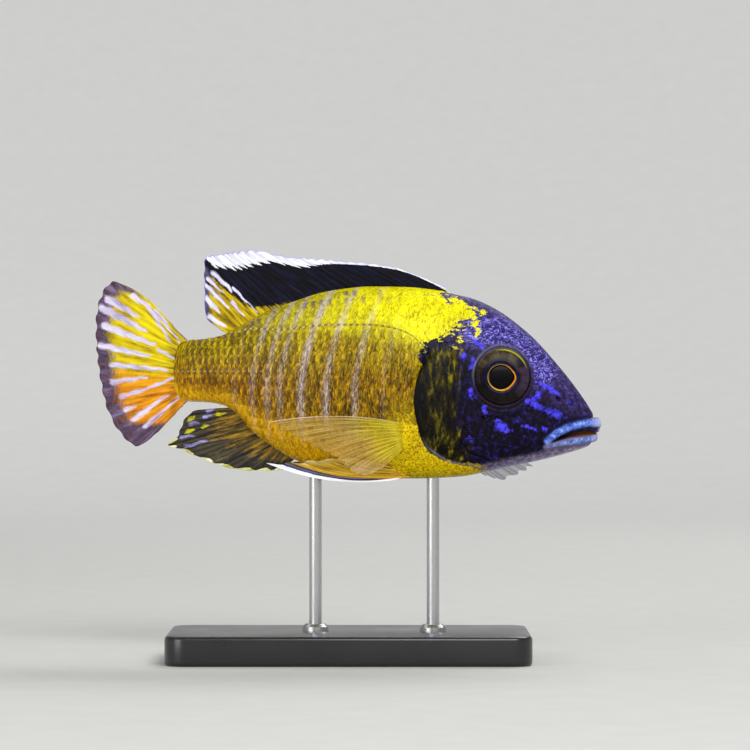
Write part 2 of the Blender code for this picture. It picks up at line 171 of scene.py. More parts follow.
def piece_from(name, points, faces, look):
    """An object at the origin from points in metres and a list of faces."""
    mesh = bpy.data.meshes.new(name)
    mesh.from_pydata(np.asarray(points).tolist(), [], [list(f) for f in faces])
    mesh.validate()
    mesh.shade_smooth()
    mesh.materials.append(look)
    return new_object(name, mesh)


def turned(profile, centre, sides=48):
    """Points and faces of a closed turning about the upright through centre."""
    points, faces = [], []
    rows = len(profile)
    for k in range(sides):
        turn = 2 * math.pi * k / sides
        for radius, height in profile:
            points.append(
                (centre[0] + radius * math.cos(turn), centre[1] + radius * math.sin(turn), height)
            )
    for k in range(sides):
        after = (k + 1) % sides
        for j in range(rows - 1):
            faces.append((k * rows + j, after * rows + j, after * rows + j + 1, k * rows + j + 1))
    faces.append([k * rows + rows - 1 for k in range(sides)])
    faces.append([k * rows for k in range(sides)][::-1])
    return points, faces


# Drawn stainless steel: fine lines along the draw stretch the lights into soft streaks.
steel, add, shader = new_material(
    "stainless_steel_drawn", Base_Color="#B9BABB", Metallic=1.0, Roughness=0.28, Anisotropic=0.4
)
place_in = add("TexCoord", out=3)
drawn = grain_of(add, place_in, (9000, 9000, 120), 2.0)
feed(
    shader,
    Roughness=add("MapRange", drawn, 0.3, 0.7, 0.2, 0.36),
    Normal=add("Bump", 0.05, 0.0001, None, drawn),
)

base_top = high[2]
for end in ("front", "rear"):
    low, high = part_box("stand_rod_" + end)
    middle = ((low[0] + high[0]) / 2, (low[1] + high[1]) / 2)
    radius = (high[0] - low[0]) / 2
    narrow = radius - ROD_CHAMFER
    profile = [
        (narrow, low[2]), (radius, low[2] + ROD_CHAMFER),
        (radius, high[2] - ROD_CHAMFER), (narrow, high[2]),
    ]
    rod = piece_from("stand_post_" + end, *turned(profile, middle), steel)
    finish_piece(rod, "stand_steel", "stand_rod_" + end)
    wide, bead, top = COLLAR_RADIUS, COLLAR_BEAD, base_top + COLLAR_HEIGHT
    profile = [
        (wide, base_top - COLLAR_SUNK), (wide, top - 2 * bead), (wide - bead, top - bead),
        (wide - 2 * bead, top), (radius + COLLAR_ROOM, top),
    ]
    collar = piece_from("stand_collar_" + end, *turned(profile, middle), steel)
    finish_piece(collar, "stand_steel")
    for turning in (rod, collar):
        turning.data.set_sharp_from_angle(angle=math.radians(30))

# Body: its form.
# The body is one form given by its outlines in side view and its half width, all in
# millimetres: u runs towards the snout, n out to the left, z up. Behind the shoulder it
# swings to its left, as the tail beats.

SNOUT = (60.0, 55.2)
BACK_LINE = [
    (-42.8, 73.4), (-41.4, 75.4), (-39.8, 76.4), (-33.1, 77.0), (-28.6, 78.3), (-20.7, 82.6),
    (-14.0, 85.1), (-4.5, 87.9), (5.2, 88.9), (13.1, 88.8), (21.2, 88.0), (28.8, 86.4),
    (34.3, 84.1), (42.6, 78.1), (50.7, 69.3), (56.4, 61.7), (58.3, 58.6), (59.4, 57.2), SNOUT,
]
BELLY_LINE = [
    (-42.8, 64.6), (-41.4, 62.6), (-39.8, 61.4), (-34.3, 61.1), (-30.2, 60.5), (-27.4, 58.9),
    (-22.7, 54.0), (-17.6, 50.3), (-11.7, 46.9), (-6.9, 45.2), (0.2, 43.9), (7.4, 43.2),
    (16.0, 43.0), (25.5, 43.4), (37.1, 45.7), (46.7, 47.8), (54.0, 49.8), (57.1, 50.9),
    (58.7, 52.2), SNOUT,
]
WIDEST_LINE = [
    (-40.2, 69.0), (-30.0, 69.0), (-20.0, 68.0), (-8.0, 65.5), (6.0, 63.5), (20.0, 62.0),
    (36.0, 59.5), (46.0, 57.0), (54.0, 55.4), SNOUT,
]
HALF_WIDTH = [
    (-42.6, 0.3), (-41.4, 1.0), (-39.7, 2.05), (-34.0, 3.1), (-28.0, 4.3), (-20.0, 6.3),
    (-10.0, 8.3), (0.0, 9.5), (12.0, 10.1), (22.0, 9.9), (32.0, 9.2), (40.0, 8.4), (47.0, 7.2),
    (53.0, 5.6), (57.0, 3.9), (59.2, 2.0), (60.0, 0.0),
]
LOWER_FULLNESS = 0.88
SWING_START, SWING_END, TAIL_SWING = 14.0, -60.0, 22.0
SWING_PULL = TAIL_SWING / (SWING_START - SWING_END) ** 2
GILL_EDGE = [
    (43.5, 35.0), (46.0, 30.0), (47.6, 23.0), (50.7, 18.6), (54.3, 17.0), (61.9, 15.7),
    (68.6, 16.9), (72.6, 20.0), (80.0, 24.0), (88.0, 27.5),
]


def curve_of(keys):
    """The curve through keys that never overshoots between two of them."""
    xs, ys = np.array(keys, float).T
    widths = np.diff(xs)
    slopes = np.diff(ys) / widths
    tangents = np.concatenate([slopes[:1], np.zeros(len(xs) - 2), slopes[-1:]])
    both = slopes[:-1] * slopes[1:]
    total = np.where(both > 0, slopes[:-1] + slopes[1:], 1)
    tangents[1:-1] = np.where(both > 0, 2 * both / total, 0)

    def at(x):
        x = np.clip(x, xs[0], xs[-1])
        i = np.clip(np.searchsorted(xs, x, side="right") - 1, 0, len(xs) - 2)
        w = widths[i]
        t = (x - xs[i]) / w
        start = (2 * t**3 - 3 * t**2 + 1) * ys[i] + (t**3 - 2 * t**2 + t) * w * tangents[i]
        end = (3 * t**2 - 2 * t**3) * ys[i + 1] + (t**3 - t**2) * w * tangents[i + 1]
        return start + end

    return at


back, belly = curve_of(BACK_LINE), curve_of(BELLY_LINE)
widest, half_width = curve_of(WIDEST_LINE), curve_of(HALF_WIDTH)
gill_edge = curve_of(GILL_EDGE)


def smoothly(low, high, x):
    """0 below low, 1 above high, and a smooth rise between. Low may be the larger."""
    t = np.clip((x - low) / (high - low), 0, 1)
    return t * t * (3 - 2 * t)


def flank(u, angle):
    """Points of the plain form: angle 0 at the back ridge, a quarter turn at the left flank."""
    u, angle = np.broadcast_arrays(np.asarray(u, float), np.asarray(angle, float))
    middle, up, out = widest(u), np.cos(angle), np.sin(angle)
    rise = np.where(up >= 0, back(u) - middle, middle - belly(u))
    spread = np.abs(out) ** np.where(up >= 0, 1.0, LOWER_FULLNESS)
    return np.stack([u, half_width(u) * spread * np.sign(out), middle + rise * up], -1)


def out_of(u, angle):
    """The direction that faces out of the plain form."""
    du, da = 0.04, 0.012
    along = flank(u + du, angle) - flank(u - du, angle)
    around = flank(u, angle + da) - flank(u, angle - da)
    normal = np.cross(along, around)
    return normal / np.maximum(np.linalg.norm(normal, axis=-1, keepdims=True), 1e-9)


def angle_of(u, z, side=1.0):
    """The angle at which the plain form has this height."""
    middle = widest(u)
    rise = np.where(z >= middle, back(u) - middle, middle - belly(u))
    return side * np.arccos(np.clip((z - middle) / np.maximum(rise, 1e-6), -1, 1))


def swing(points):
    """Body points in millimetres to places in metres, with the tail swung to the left."""
    u, n, z = points[..., 0], points[..., 1], points[..., 2]
    behind = np.maximum(SWING_START - u, 0.0)
    slope = 2 * SWING_PULL * behind
    turn = np.sqrt(1 + slope**2)
    return np.stack([u + n * slope / turn, SWING_PULL * behind**2 + n / turn, z], -1) * MM


def gill_edge_at(angle):
    """Where the gill cover's rear edge lies at each angle."""
    u = np.full_like(angle, 17.0)
    for _ in range(14):
        u = (u + gill_edge(flank(u, angle)[..., 2])) / 2
    return u


def reach_to(u, z, path):
    """The distance in side view from each point to a broken line."""
    best = np.full(np.shape(u), 1e9)
    for (au, az), (bu, bz) in zip(path, path[1:]):
        du, dz = bu - au, bz - az
        t = np.clip(((u - au) * du + (z - az) * dz) / (du * du + dz * dz), 0, 1)
        best = np.minimum(best, np.hypot(u - au - t * du, z - az - t * dz))
    return best


def inside(u, z, outline):
    """The distance in side view to a closed outline, negative within it."""
    within = np.zeros(np.shape(u), bool)
    for (au, az), (bu, bz) in zip(outline, outline[1:] + outline[:1]):
        if az == bz:
            continue
        crosses = (az > z) != (bz > z)
        within ^= crosses & (u < (bu - au) * (z - az) / (bz - az) + au)
    away = reach_to(u, z, outline + outline[:1])
    return np.where(within, -away, away)


# Body: its markings.
# A breeding male's colours: lemon nape and back, orange and olive flanks under lilac bars,
# a blue-black face with royal blue strokes, and a black and olive gill cover. The places
# are worked out here once, for the skin and for every scale on it.

LEAN = 5.2
BARS = [
    (8.4, 0.25), (2.2, 0.6), (-4.2, 0.8), (-9.9, 1.0), (-14.9, 0.6), (-18.0, 0.6),
    (-21.6, 0.5), (-26.2, 0.25),
]
BAR_WIDTH = 0.8
HEAD_BLUE = [
    (23.1, 90.0), (23.1, 87.1), (23.6, 84.8), (26.9, 86.0), (28.6, 84.1), (31.4, 83.1),
    (29.5, 81.4), (26.4, 80.0), (24.8, 78.3), (23.6, 77.1), (19.8, 75.4), (17.3, 72.8),
    (14.0, 66.0), (14.0, 58.0), (15.0, 52.0), (19.0, 49.0), (25.0, 46.9), (30.0, 46.2),
    (32.5, 44.6), (34.0, 40.0), (70.0, 40.0), (70.0, 90.0),
]
YELLOW_ISLANDS = [
    ((28.1, 78.2), (27.1, 76.4), 0.5), ((30.8, 78.4), (30.2, 76.4), 0.38),
    ((25.4, 74.3), (26.5, 75.6), 0.32), ((31.2, 80.5), (29.6, 79.2), 0.32),
    ((32.0, 82.9), (29.2, 81.0), 0.45), ((26.6, 81.2), (25.8, 79.8), 0.5),
]
GILL_DARK = [
    (26.3, 73.5), (25.2, 66.0), (25.0, 58.0), (25.8, 52.6), (28.0, 49.4), (24.0, 46.5),
    (12.0, 46.5), (12.0, 73.5),
]
STROKES = [
    ((44.9, 66.0), (48.2, 64.0), 0.38), ((47.0, 65.6), (50.0, 62.9), 0.30),
    ((42.2, 61.7), (45.5, 63.4), 0.62), ((43.5, 61.2), (47.6, 58.9), 0.58),
    ((47.6, 59.1), (50.0, 58.3), 0.78), ((31.9, 60.3), (32.5, 58.7), 0.45),
    ((35.5, 56.0), (37.4, 55.2), 0.80), ((35.2, 57.3), (35.5, 56.0), 0.34),
    ((45.9, 55.4), (46.6, 55.0), 0.45), ((26.0, 72.9), (26.6, 72.4), 0.80),
    ((29.5, 71.4), (28.8, 69.6), 0.50), ((28.9, 64.6), (28.8, 62.6), 0.36),
    ((52.4, 61.6), (52.9, 61.1), 0.40), ((28.6, 53.4), (29.0, 52.6), 0.36),
    ((41.0, 55.9), (44.0, 55.1), 0.34), ((29.8, 75.8), (31.6, 74.4), 0.40),
]
WORM_LINE = [(30.0, 78.5), (35.0, 78.2), (40.0, 75.3), (43.6, 72.0), (45.6, 68.8)]
LATERAL_LINE = [
    (-27.0, 78.0), (-22.0, 79.0), (-14.8, 78.7), (-6.9, 79.6), (-2.6, 79.8), (5.0, 79.8),
    (9.8, 79.2), (13.8, 77.9), (16.9, 75.5), (18.8, 73.6),
]
MIDDLE_ROW = 68.8
lateral = curve_of(LATERAL_LINE)
EYE_AT = (36.3, 67.7)
EYE_RADII = (6.65, 6.9)
NOSTRILS = [((49.7, 62.4), 0.55, 0.9), ((46.1, 63.1), 0.66, 0.5)]
UPPER_LIP = [(59.4, 56.7), (57.4, 56.6), (55.6, 56.4), (52.2, 55.6), (49.3, 54.2), (47.0, 52.2)]
LOWER_LIP = [(58.4, 52.75), (55.6, 52.3), (52.2, 52.0), (49.0, 51.35), (46.8, 50.7)]
MOUTH_TOP = [
    (47.3, 51.8), (49.2, 52.9), (52.2, 54.1), (55.6, 54.75), (57.2, 54.55), (58.6, 54.2), (60.5, 54.15),
]
MOUTH_LOW = [
    (47.3, 51.4), (49.2, 52.1), (52.2, 52.9), (55.6, 53.4), (57.2, 53.5), (58.4, 53.65), (60.5, 53.7),
]
MOUTH_CORNER = (47.4, 49.4)


def lean_at(z):
    """How far forward a scale column or a bar leans at this height."""
    return LEAN * np.clip((z - 64) / 22, 0, 1.2) ** 1.6


def mouth_at(u, z):
    """1 where the lips part, 0 outside."""
    top = np.interp(u, *np.array(MOUTH_TOP).T)
    low = np.interp(u, *np.array(MOUTH_LOW).T)
    between = smoothly(low - 0.12, low + 0.3, z) * smoothly(top + 0.12, top - 0.3, z)
    return between * smoothly(*MOUTH_CORNER, u)


def eye_place(u, z):
    """0 at the eye's middle, 1 on its rim."""
    return np.hypot((u - EYE_AT[0]) / EYE_RADII[0], (z - EYE_AT[1]) / EYE_RADII[1])


def strokes_at(u, z, strokes):
    """Over 0.5 inside drawn strokes of (end, end, half width), falling off outside them."""
    drawn = np.full(np.shape(u), -9.0)
    for a, b, radius in strokes:
        drawn = np.maximum(drawn, 1.5 - reach_to(u, z, [a, b]) / radius)
    return drawn


def marked(points):
    """The markings at body points: vectors of three fields each, read by the materials."""
    u, z = points[..., 0], points[..., 2]
    nape = inside(u, z, HEAD_BLUE)
    for a, b, radius in YELLOW_ISLANDS:
        nape = np.maximum(nape, radius - reach_to(u, z, [a, b]))
    nape = np.maximum(nape, gill_edge(z) - 0.4 - u - 12 * smoothly(70.0, 75.0, z))
    gill = smoothly(2.6, -2.2, inside(u, z, GILL_DARK))
    gill = gill * smoothly(-1.2, 0.1, u - gill_edge(z) + 0.12 * np.maximum(z - 66, 0))
    throat = smoothly(2.9, 0.9, z - belly(u)) * smoothly(27.0, 34.0, u)
    eye = eye_place(u, z)
    worm = smoothly(5.2, 1.4, reach_to(u, z, WORM_LINE)) * smoothly(1.06, 1.16, eye)
    upright = u - lean_at(z)
    bars = np.zeros_like(u)
    for at, strength in BARS:
        bars = np.maximum(bars, strength * np.exp(-(((upright - at) / BAR_WIDTH) ** 2)))
    pale_above = smoothly(1.0, 5.0, z - lateral(u)) * smoothly(-10.0, 2.0, upright)
    bars = bars * smoothly(47.0, 62.0, z) * (1 - 0.5 * pale_above)
    depth = np.maximum(back(u) - belly(u), 1.0)
    # Pale along the lower outline: on the body partly its own pale belly edge and partly painted highlight,
    # on the jaw painted highlight.
    under = np.exp(-np.maximum(z - belly(u), 0) / 0.9)
    # Round the eye: painted highlight as a pale arc on its upper side, painted shade as a dark rim on its
    # lower side.
    angle = np.arctan2(z - EYE_AT[1], u - EYE_AT[0])
    upper = np.cos(angle - 1.9)
    painted_eye_highlight = 0.5 * np.exp(-(((eye - 1.04) / 0.036) ** 2)) * smoothly(-0.3, 0.8, upper)
    rim = smoothly(1.0, 1.03, eye) * smoothly(1.13, 1.05, eye) * smoothly(0.3, -0.6, upper)
    edge_line = [(b, a) for a, b in GILL_EDGE[1:7]]
    edge = np.exp(-((reach_to(u, z, edge_line) / 0.3) ** 2)) * (u > gill_edge(z) - 0.25)
    # Painted shade: the sunk gap between the lips and the nostril pits are made dark.
    dark = mouth_at(u, z)
    for (at_u, at_z), radius, _ in NOSTRILS:
        dark = np.maximum(dark, np.exp(-((np.hypot(u - at_u, z - at_z) / radius) ** 4)))
    upper_lip = 1.2 - reach_to(u, z, UPPER_LIP)
    lower_lip = 0.85 + 0.5 * smoothly(47.0, 54.0, u) - reach_to(u, z, LOWER_LIP)
    return {
        "zones": (nape, gill, throat),
        "figures": (strokes_at(u, z, STROKES), worm, bars),
        "lattice": (upright, z - lateral(u), z - MIDDLE_ROW),
        # Its third field: where shade is painted, in the mouth's gap, the nostril pits and the rim below the
        # eye.
        "lips": (upper_lip, lower_lip, np.maximum(dark, 0.9 * rim)),
        "edges": ((z - belly(u)) / depth, under, np.maximum(painted_eye_highlight, 0.4 * edge * smoothly(54, 49, z))),
    }


def give(mesh, name, values):
    """Stores one number or one vector for each point of the mesh."""
    values = np.asarray(values, np.float32)
    kind, key = ("FLOAT_VECTOR", "vector") if values.ndim == 2 else ("FLOAT", "value")
    made = mesh.attributes.new(name, kind, "POINT")
    made.data.foreach_set(key, values.ravel())


def give_markings(mesh, points, roots=None):
    """Marks each point. On scales, what differs from scale to scale is read at their roots."""
    fields = marked(points)
    if roots is not None:
        at_root = marked(roots)
        nape, gill, throat = fields["zones"]
        root_share = 0.6 * smoothly(70.0, 74.0, points[..., 2])
        fields["zones"] = (nape + root_share * (at_root["zones"][0] - nape), gill, throat)
    give(mesh, "lie", points)
    for name, three in fields.items():
        give(mesh, name, np.stack(three, -1))


def three_of(add, name):
    """The three fields of a stored vector."""
    return add("SeparateXYZ", add("Attribute", out=1, attribute_name=name), out=None)


def lay_over(add, mask, low, high, under, over, least=0.0, most=1.0):
    """Lays one colour over another, least below low on the mask and most above high."""
    return add("MixRGB", add("MapRange", mask, low, high, least, most), under, over)


def scale_marks(add, body, grain, upright, height, share_up):
    """Each scale has a dark mark where it comes out from under the one before, partly its own marking and
    partly painted shade of the overlap, and a tone of its own.
    """
    part, across, own = three_of(add, "plate")
    root_side = add("MapRange", part, 0.72, 0.5)
    narrow = add("MapRange", add("Math ABSOLUTE", across), 0.85, 0.3)
    middle = add("Math MULTIPLY", root_side, narrow)
    busy_low = add("MapRange", upright, 10.0, -20.0, 0.45, 0.95)
    busy_high = add("MapRange", upright, 0.0, -16.0, 0.04, 0.8)
    busy = lay_over(add, height, -1.0, 2.0, busy_low, busy_high)
    lowered = add("MapRange", share_up, 0.14, 0.3, 0.25, 1.0)
    # The dark mark on the root side: the scale's own marking, and painted shade where the scale before
    # overlaps it.
    dash_and_overlap_shade = add("Math MULTIPLY", add("Math MULTIPLY", middle, busy), lowered)
    dash_and_overlap_shade = add("Math MULTIPLY", dash_and_overlap_shade, add("MapRange", grain, 0.35, 0.65, 0.45, 0.95))
    spot = add("ValToRGB", height, stops="0.0 #3B2612  1.0 #70663A")
    body = add("MixRGB", dash_and_overlap_shade, body, spot)
    body = add("HueSaturation", 0.5, 1.0, add("MapRange", own, 0.0, 1.0, 0.88, 1.1), 1.0, body)
    dots = add("Math MULTIPLY", add("Math LESS_THAN", own, 0.35), add("MapRange", share_up, 0.9, 0.95))
    dots = add("Math MULTIPLY", dots, add("MapRange", upright, 8.0, -2.0, 0.0, 0.8))
    return add("MixRGB", add("Math MULTIPLY", dots, middle), body, "#5C4A58")


def body_colours(add, plates):
    """Flank, back, chest and stalk. The distances are millimetres on the body before its swing."""
    lie = add("Attribute", out=1, attribute_name="lie")
    u, n, z = add("SeparateXYZ", lie, out=None)
    bars = three_of(add, "figures")[2]
    upright, height, above_middle = three_of(add, "lattice")
    share_up, under, _ = three_of(add, "edges")

    # Upright streaks a scale wide, and finer grain, both in millimetres.
    leaning = add("CombineXYZ", upright, n, z)
    streak = grain_of(add, leaning, (0.62, 0.5, 0.13), 3.0, 0.6)
    grain = grain_of(add, leaning, (3.0, 2.0, 0.75), 4.0, 0.7)
    patch = add("TexNoise", lie, None, 0.16, 3.0, 0.55)
    tone = add("Math ADD", add("Math MULTIPLY", streak, 0.4), grain)
    tone = add("MapRange", tone, 0.54, 0.9)

    # Olive flank, orange stalk, yellow middle, lemon back, duller at the rear, and gold below.
    flank_colour, stalk, middle_colour, back_colour, rear_colour, gold = (
        add("ValToRGB", tone, stops=stops)
        for stops in (
            "0.0 #2C2000  0.3 #5C4400  0.55 #8A6800  0.85 #BA8E02",
            "0.0 #503000  0.3 #7E5202  0.6 #AC7604  0.9 #CE980A",
            "0.0 #4E4002  0.3 #806A04  0.6 #AC9206  0.9 #CDB80A",
            "0.0 #9E9204  0.25 #D0C604  0.55 #E8E006  0.9 #F4EE0A",
            "0.0 #544416  0.3 #7E6E14  0.6 #A49212  0.9 #C4B414",
            "0.0 #886402  0.4 #C08E02  0.9 #E2B008",
        )
    )
    flank_colour = lay_over(add, upright, -8.0, -30.0, flank_colour, stalk)
    back_colour = lay_over(add, upright, -26.0, 8.0, rear_colour, back_colour)
    ragged = add("Math ADD", height, add("Math MULTIPLY", patch, 7.0))
    body = lay_over(add, ragged, -9.0, -1.0, flank_colour, middle_colour)
    body = lay_over(add, ragged, -0.5, 4.5, body, back_colour)
    low = add("Math SUBTRACT", share_up, add("Math MULTIPLY", patch, 0.1))
    stipple = add("TexNoise", lie, None, 1.9, 3.0, 0.75)
    chest = add("ValToRGB", stipple, stops="0.34 #6E5200  0.44 #B89602  0.56 #DCC006  0.7 #E6CE0C")
    body = lay_over(add, low, 0.25, 0.12, body, lay_over(add, upright, 2.0, 13.0, gold, chest))
    shoulder = add("Math MULTIPLY", add("MapRange", u, 8.0, 13.5), add("MapRange", z, 64.0, 55.0))
    shoulder = add("Math MULTIPLY", shoulder, add("MapRange", stipple, 0.35, 0.6, 0.5, 1.0))
    body = add("MixRGB", shoulder, body, chest)
    if plates:
        body = scale_marks(add, body, grain, upright, height, share_up)

    # Bars: lilac, broken up by the grain, fading towards the belly.
    bar_edge = add("Math MULTIPLY", bars, add("MapRange", grain, 0.32, 0.68, 0.35, 1.3))
    bar_edge = add("Math MULTIPLY", bar_edge, add("MapRange", patch, 0.35, 0.65, 0.6, 1.15))
    bar_colour = add("ValToRGB", grain, stops="0.3 #78665C  0.5 #A8968E  0.68 #D6CCD6")
    bar_colour = lay_over(add, height, -7.0, 3.0, bar_colour, "#BCB0BE")
    body = lay_over(add, bar_edge, 0.08, 0.9, body, bar_colour, 0.0, 0.8)

    # Two rows of pored scales: one arched above the flank, one along the middle of the stalk.
    beat = add("MapRange", add("Math SINE", add("Math MULTIPLY", upright, 4.4)), -1.0, 1.0)
    tube = add("ValToRGB", beat, stops="0.3 #3A2406  0.8 #A08434")
    pale_tube = add("ValToRGB", beat, stops="0.35 #6A4A1C  0.75 #C4B488")
    tube = lay_over(add, upright, 2.0, -8.0, tube, pale_tube)
    arched = add("Math ABSOLUTE", height)
    arched = add("Math ADD", arched, add("MapRange", u, 18.6, 19.4, 0.0, 5.0))
    arched = add("Math ADD", arched, add("MapRange", u, -26.0, -28.0, 0.0, 5.0))
    level = add("Math ABSOLUTE", above_middle)
    level = add("Math ADD", level, add("MapRange", u, -19.0, -17.0, 0.13, 5.0))
    line = add("MapRange", add("Math MINIMUM", arched, level), 0.3, 0.12, 0.0, 0.7)
    body = add("MixRGB", line, body, tube)
    # Pale along the lower outline: the belly's own pale edge and a painted highlight.
    return lay_over(add, under, 0.45, 1.0, body, "#DCCFA8")


def face_colours(add):
    """Face, gill cover, throat and lips."""
    lie = add("Attribute", out=1, attribute_name="lie")
    u, _, z = add("SeparateXYZ", lie, out=None)
    _, gill, throat = three_of(add, "zones")
    stroke, worm, _ = three_of(add, "figures")
    upper, lower, _ = three_of(add, "lips")
    under = three_of(add, "edges")[1]

    # Face: blue-black cheek, mauve forehead, pale net over the eye, royal blue strokes.
    brow = add("MapRange", add("Math ADD", add("Math MULTIPLY", z, 1.6), u), 142.0, 158.0)
    mottle = add("TexNoise", lie, None, 0.9, 4.0, 0.7)
    cheek = add("ValToRGB", mottle, stops="0.35 #040206  0.5 #0C0616  0.6 #180F3C  0.74 #2C26A0")
    forehead = add("ValToRGB", mottle, stops="0.3 #1C162E  0.45 #302650  0.58 #463A74  0.72 #6054A0")
    face = add("MixRGB", brow, cheek, forehead)
    swirl = grain_of(add, lie, (0.42, 0.42, 0.62), 1.5, 0.5)
    swirl = add("Math SINE", add("Math MULTIPLY", swirl, 44.0))
    worms = add("Math MULTIPLY", add("MapRange", swirl, -0.2, 0.7), worm)
    worms = add("Math MULTIPLY", worms, add("MapRange", mottle, 0.38, 0.56, 0.15, 1.0))
    between = add("ValToRGB", mottle, stops="0.35 #1C1440  0.6 #383088")
    face = add("MixRGB", add("Math MULTIPLY", worm, 0.7), face, between)
    pale = add("ValToRGB", mottle, stops="0.35 #5A50B4  0.62 #9C94F4")
    face = add("MixRGB", add("Math MULTIPLY", worms, 0.85), face, pale)
    fray = add("Math ADD", stroke, add("MapRange", mottle, 0.35, 0.65, -0.9, 0.6))
    royal = add("ValToRGB", mottle, stops="0.35 #2A20A8  0.65 #5048EC")
    face = lay_over(add, fray, -0.1, 1.1, face, royal)

    # Gill cover: black with upright olive flecks.
    fleck = grain_of(add, lie, (0.75, 0.7, 0.2), 4.0, 0.65)
    fleck = add("Math SUBTRACT", fleck, add("MapRange", u, 19.0, 16.0, 0.0, 0.2))
    fleck = add("Math ADD", fleck, add("MapRange", z, 64.0, 70.0, 0.0, 0.07))
    cover = add("ValToRGB", fleck, stops="0.42 #070604  0.53 #1E1A04  0.62 #4A4206  0.74 #8C7C0A")
    torn = add("Math ADD", gill, add("MapRange", fleck, 0.3, 0.7, -0.3, 0.3))
    face = lay_over(add, torn, 0.3, 0.75, face, cover)
    lilac = add("ValToRGB", mottle, stops="0.35 #544A60  0.5 #7C7090  0.68 #ACA2C4")
    face = add("MixRGB", throat, face, lilac)
    # Painted highlight: pale lilac along the lower outline of the jaw.
    face = lay_over(add, under, 0.4, 0.95, face, "#C2BCD2", 0.0, 0.9)

    # Lips: pale blue bands, bright along their crest and darker towards their edges as painted highlight,
    # whitish towards the tip, partly their own pale tip and partly painted highlight; dark between them as
    # painted shade.
    tip = add("MapRange", u, 57.2, 59.8)
    shine = add("MapRange", mottle, 0.3, 0.7)
    upper_colour = add("ValToRGB", shine, stops="0.15 #3A4C9C  0.5 #5C7AD6  0.85 #94B4FF")
    lower_colour = add("ValToRGB", shine, stops="0.15 #424E86  0.55 #6A80C4  0.85 #9CB0EC")
    # Painted highlight: each lip bright along its crest, darker towards its edges.
    upper_colour = lay_over(add, upper, 0.15, 0.95, "#1E2758", upper_colour)
    lower_colour = lay_over(add, lower, 0.35, 0.95, "#6E6480", lower_colour)
    face = lay_over(add, upper, -0.15, 0.4, face, add("MixRGB", tip, upper_colour, "#AEB6E2"))
    return lay_over(add, lower, -0.15, 0.35, face, add("MixRGB", tip, lower_colour, "#B4B4D4"))


def fish_colours(add, plates=False):
    """The colour of the skin, or of the scales on it, from the marked fields."""
    lie = add("Attribute", out=1, attribute_name="lie")
    u, _, z = add("SeparateXYZ", lie, out=None)
    nape = three_of(add, "zones")[0]
    dark = three_of(add, "lips")[2]
    rim = three_of(add, "edges")[2]

    # The head's colours end in a ragged line, looser on the nape and at the throat.
    loose = add("Math MAXIMUM", add("MapRange", z, 69.0, 77.0), add("MapRange", z, 50.0, 46.5))
    turned_lie = add("Mapping", lie, None, (0, 0.7, 0), (0.5, 0.5, 0.9))
    wander = add("TexNoise", turned_lie, None, 1.0, 4.0, 0.7)
    wander = add("Math MULTIPLY", add("MapRange", wander, 0.3, 0.7, -1.3, 1.3), loose)
    line = add("Math ADD", nape, wander)
    line = add("Math MULTIPLY", line, add("MapRange", z, 50.0, 46.5, 1.0, 0.12))
    whole = lay_over(add, line, -0.15, 0.15, face_colours(add), body_colours(add, plates))
    # Painted highlight: the pale arc above the eye; the same pale lies along the lower edge of the gill
    # cover.
    whole = add("MixRGB", rim, whole, "#8C8AA0")
    # Painted shade in the mouth's gap, over the mouth's own brown, in the nostril pits and in the rim below
    # the eye.
    mouth_brown_and_shade = lay_over(add, u, 51.0, 56.5, "#261820", "#6A4420")
    return add("MixRGB", dark, whole, mouth_brown_and_shade)


# Body: the skin.
# One skin from lips to tail, smooth and wet. The gill cover's rear edge is a free fold of
# it that laps over the shoulder. It lies inside the solids by the depth of the scales.

NOSE_RINGS, CHEEK_RINGS, FLANK_RINGS, ROUND = 112, 70, 114, 300
NOSE_REACH = 20.0
SCALE_DEPTH = 0.25
FACE_DEPTH = 0.12
BAKE_EDGE, BAKE_SPAN = 0.01, 0.98
FOLD = [
    (-0.12, -0.2), (-0.14, -0.42), (0.12, -0.6), (0.9, -0.72), (0.9, -1.1), (0.2, -1.0), (-0.35, -0.74),
]
LIP_GROOVE = [
    (59.2, 58.3), (57.9, 58.1), (55.6, 57.7), (52.2, 56.9), (49.5, 55.5), (47.0, 53.2), (45.9, 51.3),
]
JAW_GROOVE = [(59.0, 51.9), (58.2, 51.6), (55.6, 51.0), (51.6, 50.9), (48.5, 50.5), (46.2, 50.1)]
CHEEK_LINE = [(26.0, 73.0), (25.2, 66.0), (25.0, 58.0), (25.8, 52.8), (28.4, 49.4), (33.0, 47.7)]
LACHRYMAL = [(44.0, 62.5), (46.5, 57.5), (48.5, 55.8)]
PORES = [
    (42.5, 59.2), (39.2, 57.9), (35.6, 57.3), (32.0, 58.2), (45.2, 57.6), (49.6, 49.9),
    (45.6, 49.2), (41.4, 48.5), (37.0, 47.6), (29.2, 51.0), (27.2, 55.4), (26.8, 60.6),
    (27.0, 66.0), (47.6, 67.6), (43.5, 72.2),
]


def fold_at(angle, edge):
    """How freely the gill cover's edge stands off: full at its side, none at the nape."""
    z = flank(edge, angle)[..., 2]
    return smoothly(74.0, 70.0, z) * (0.25 + 0.75 * smoothly(44.0, 47.5, z))


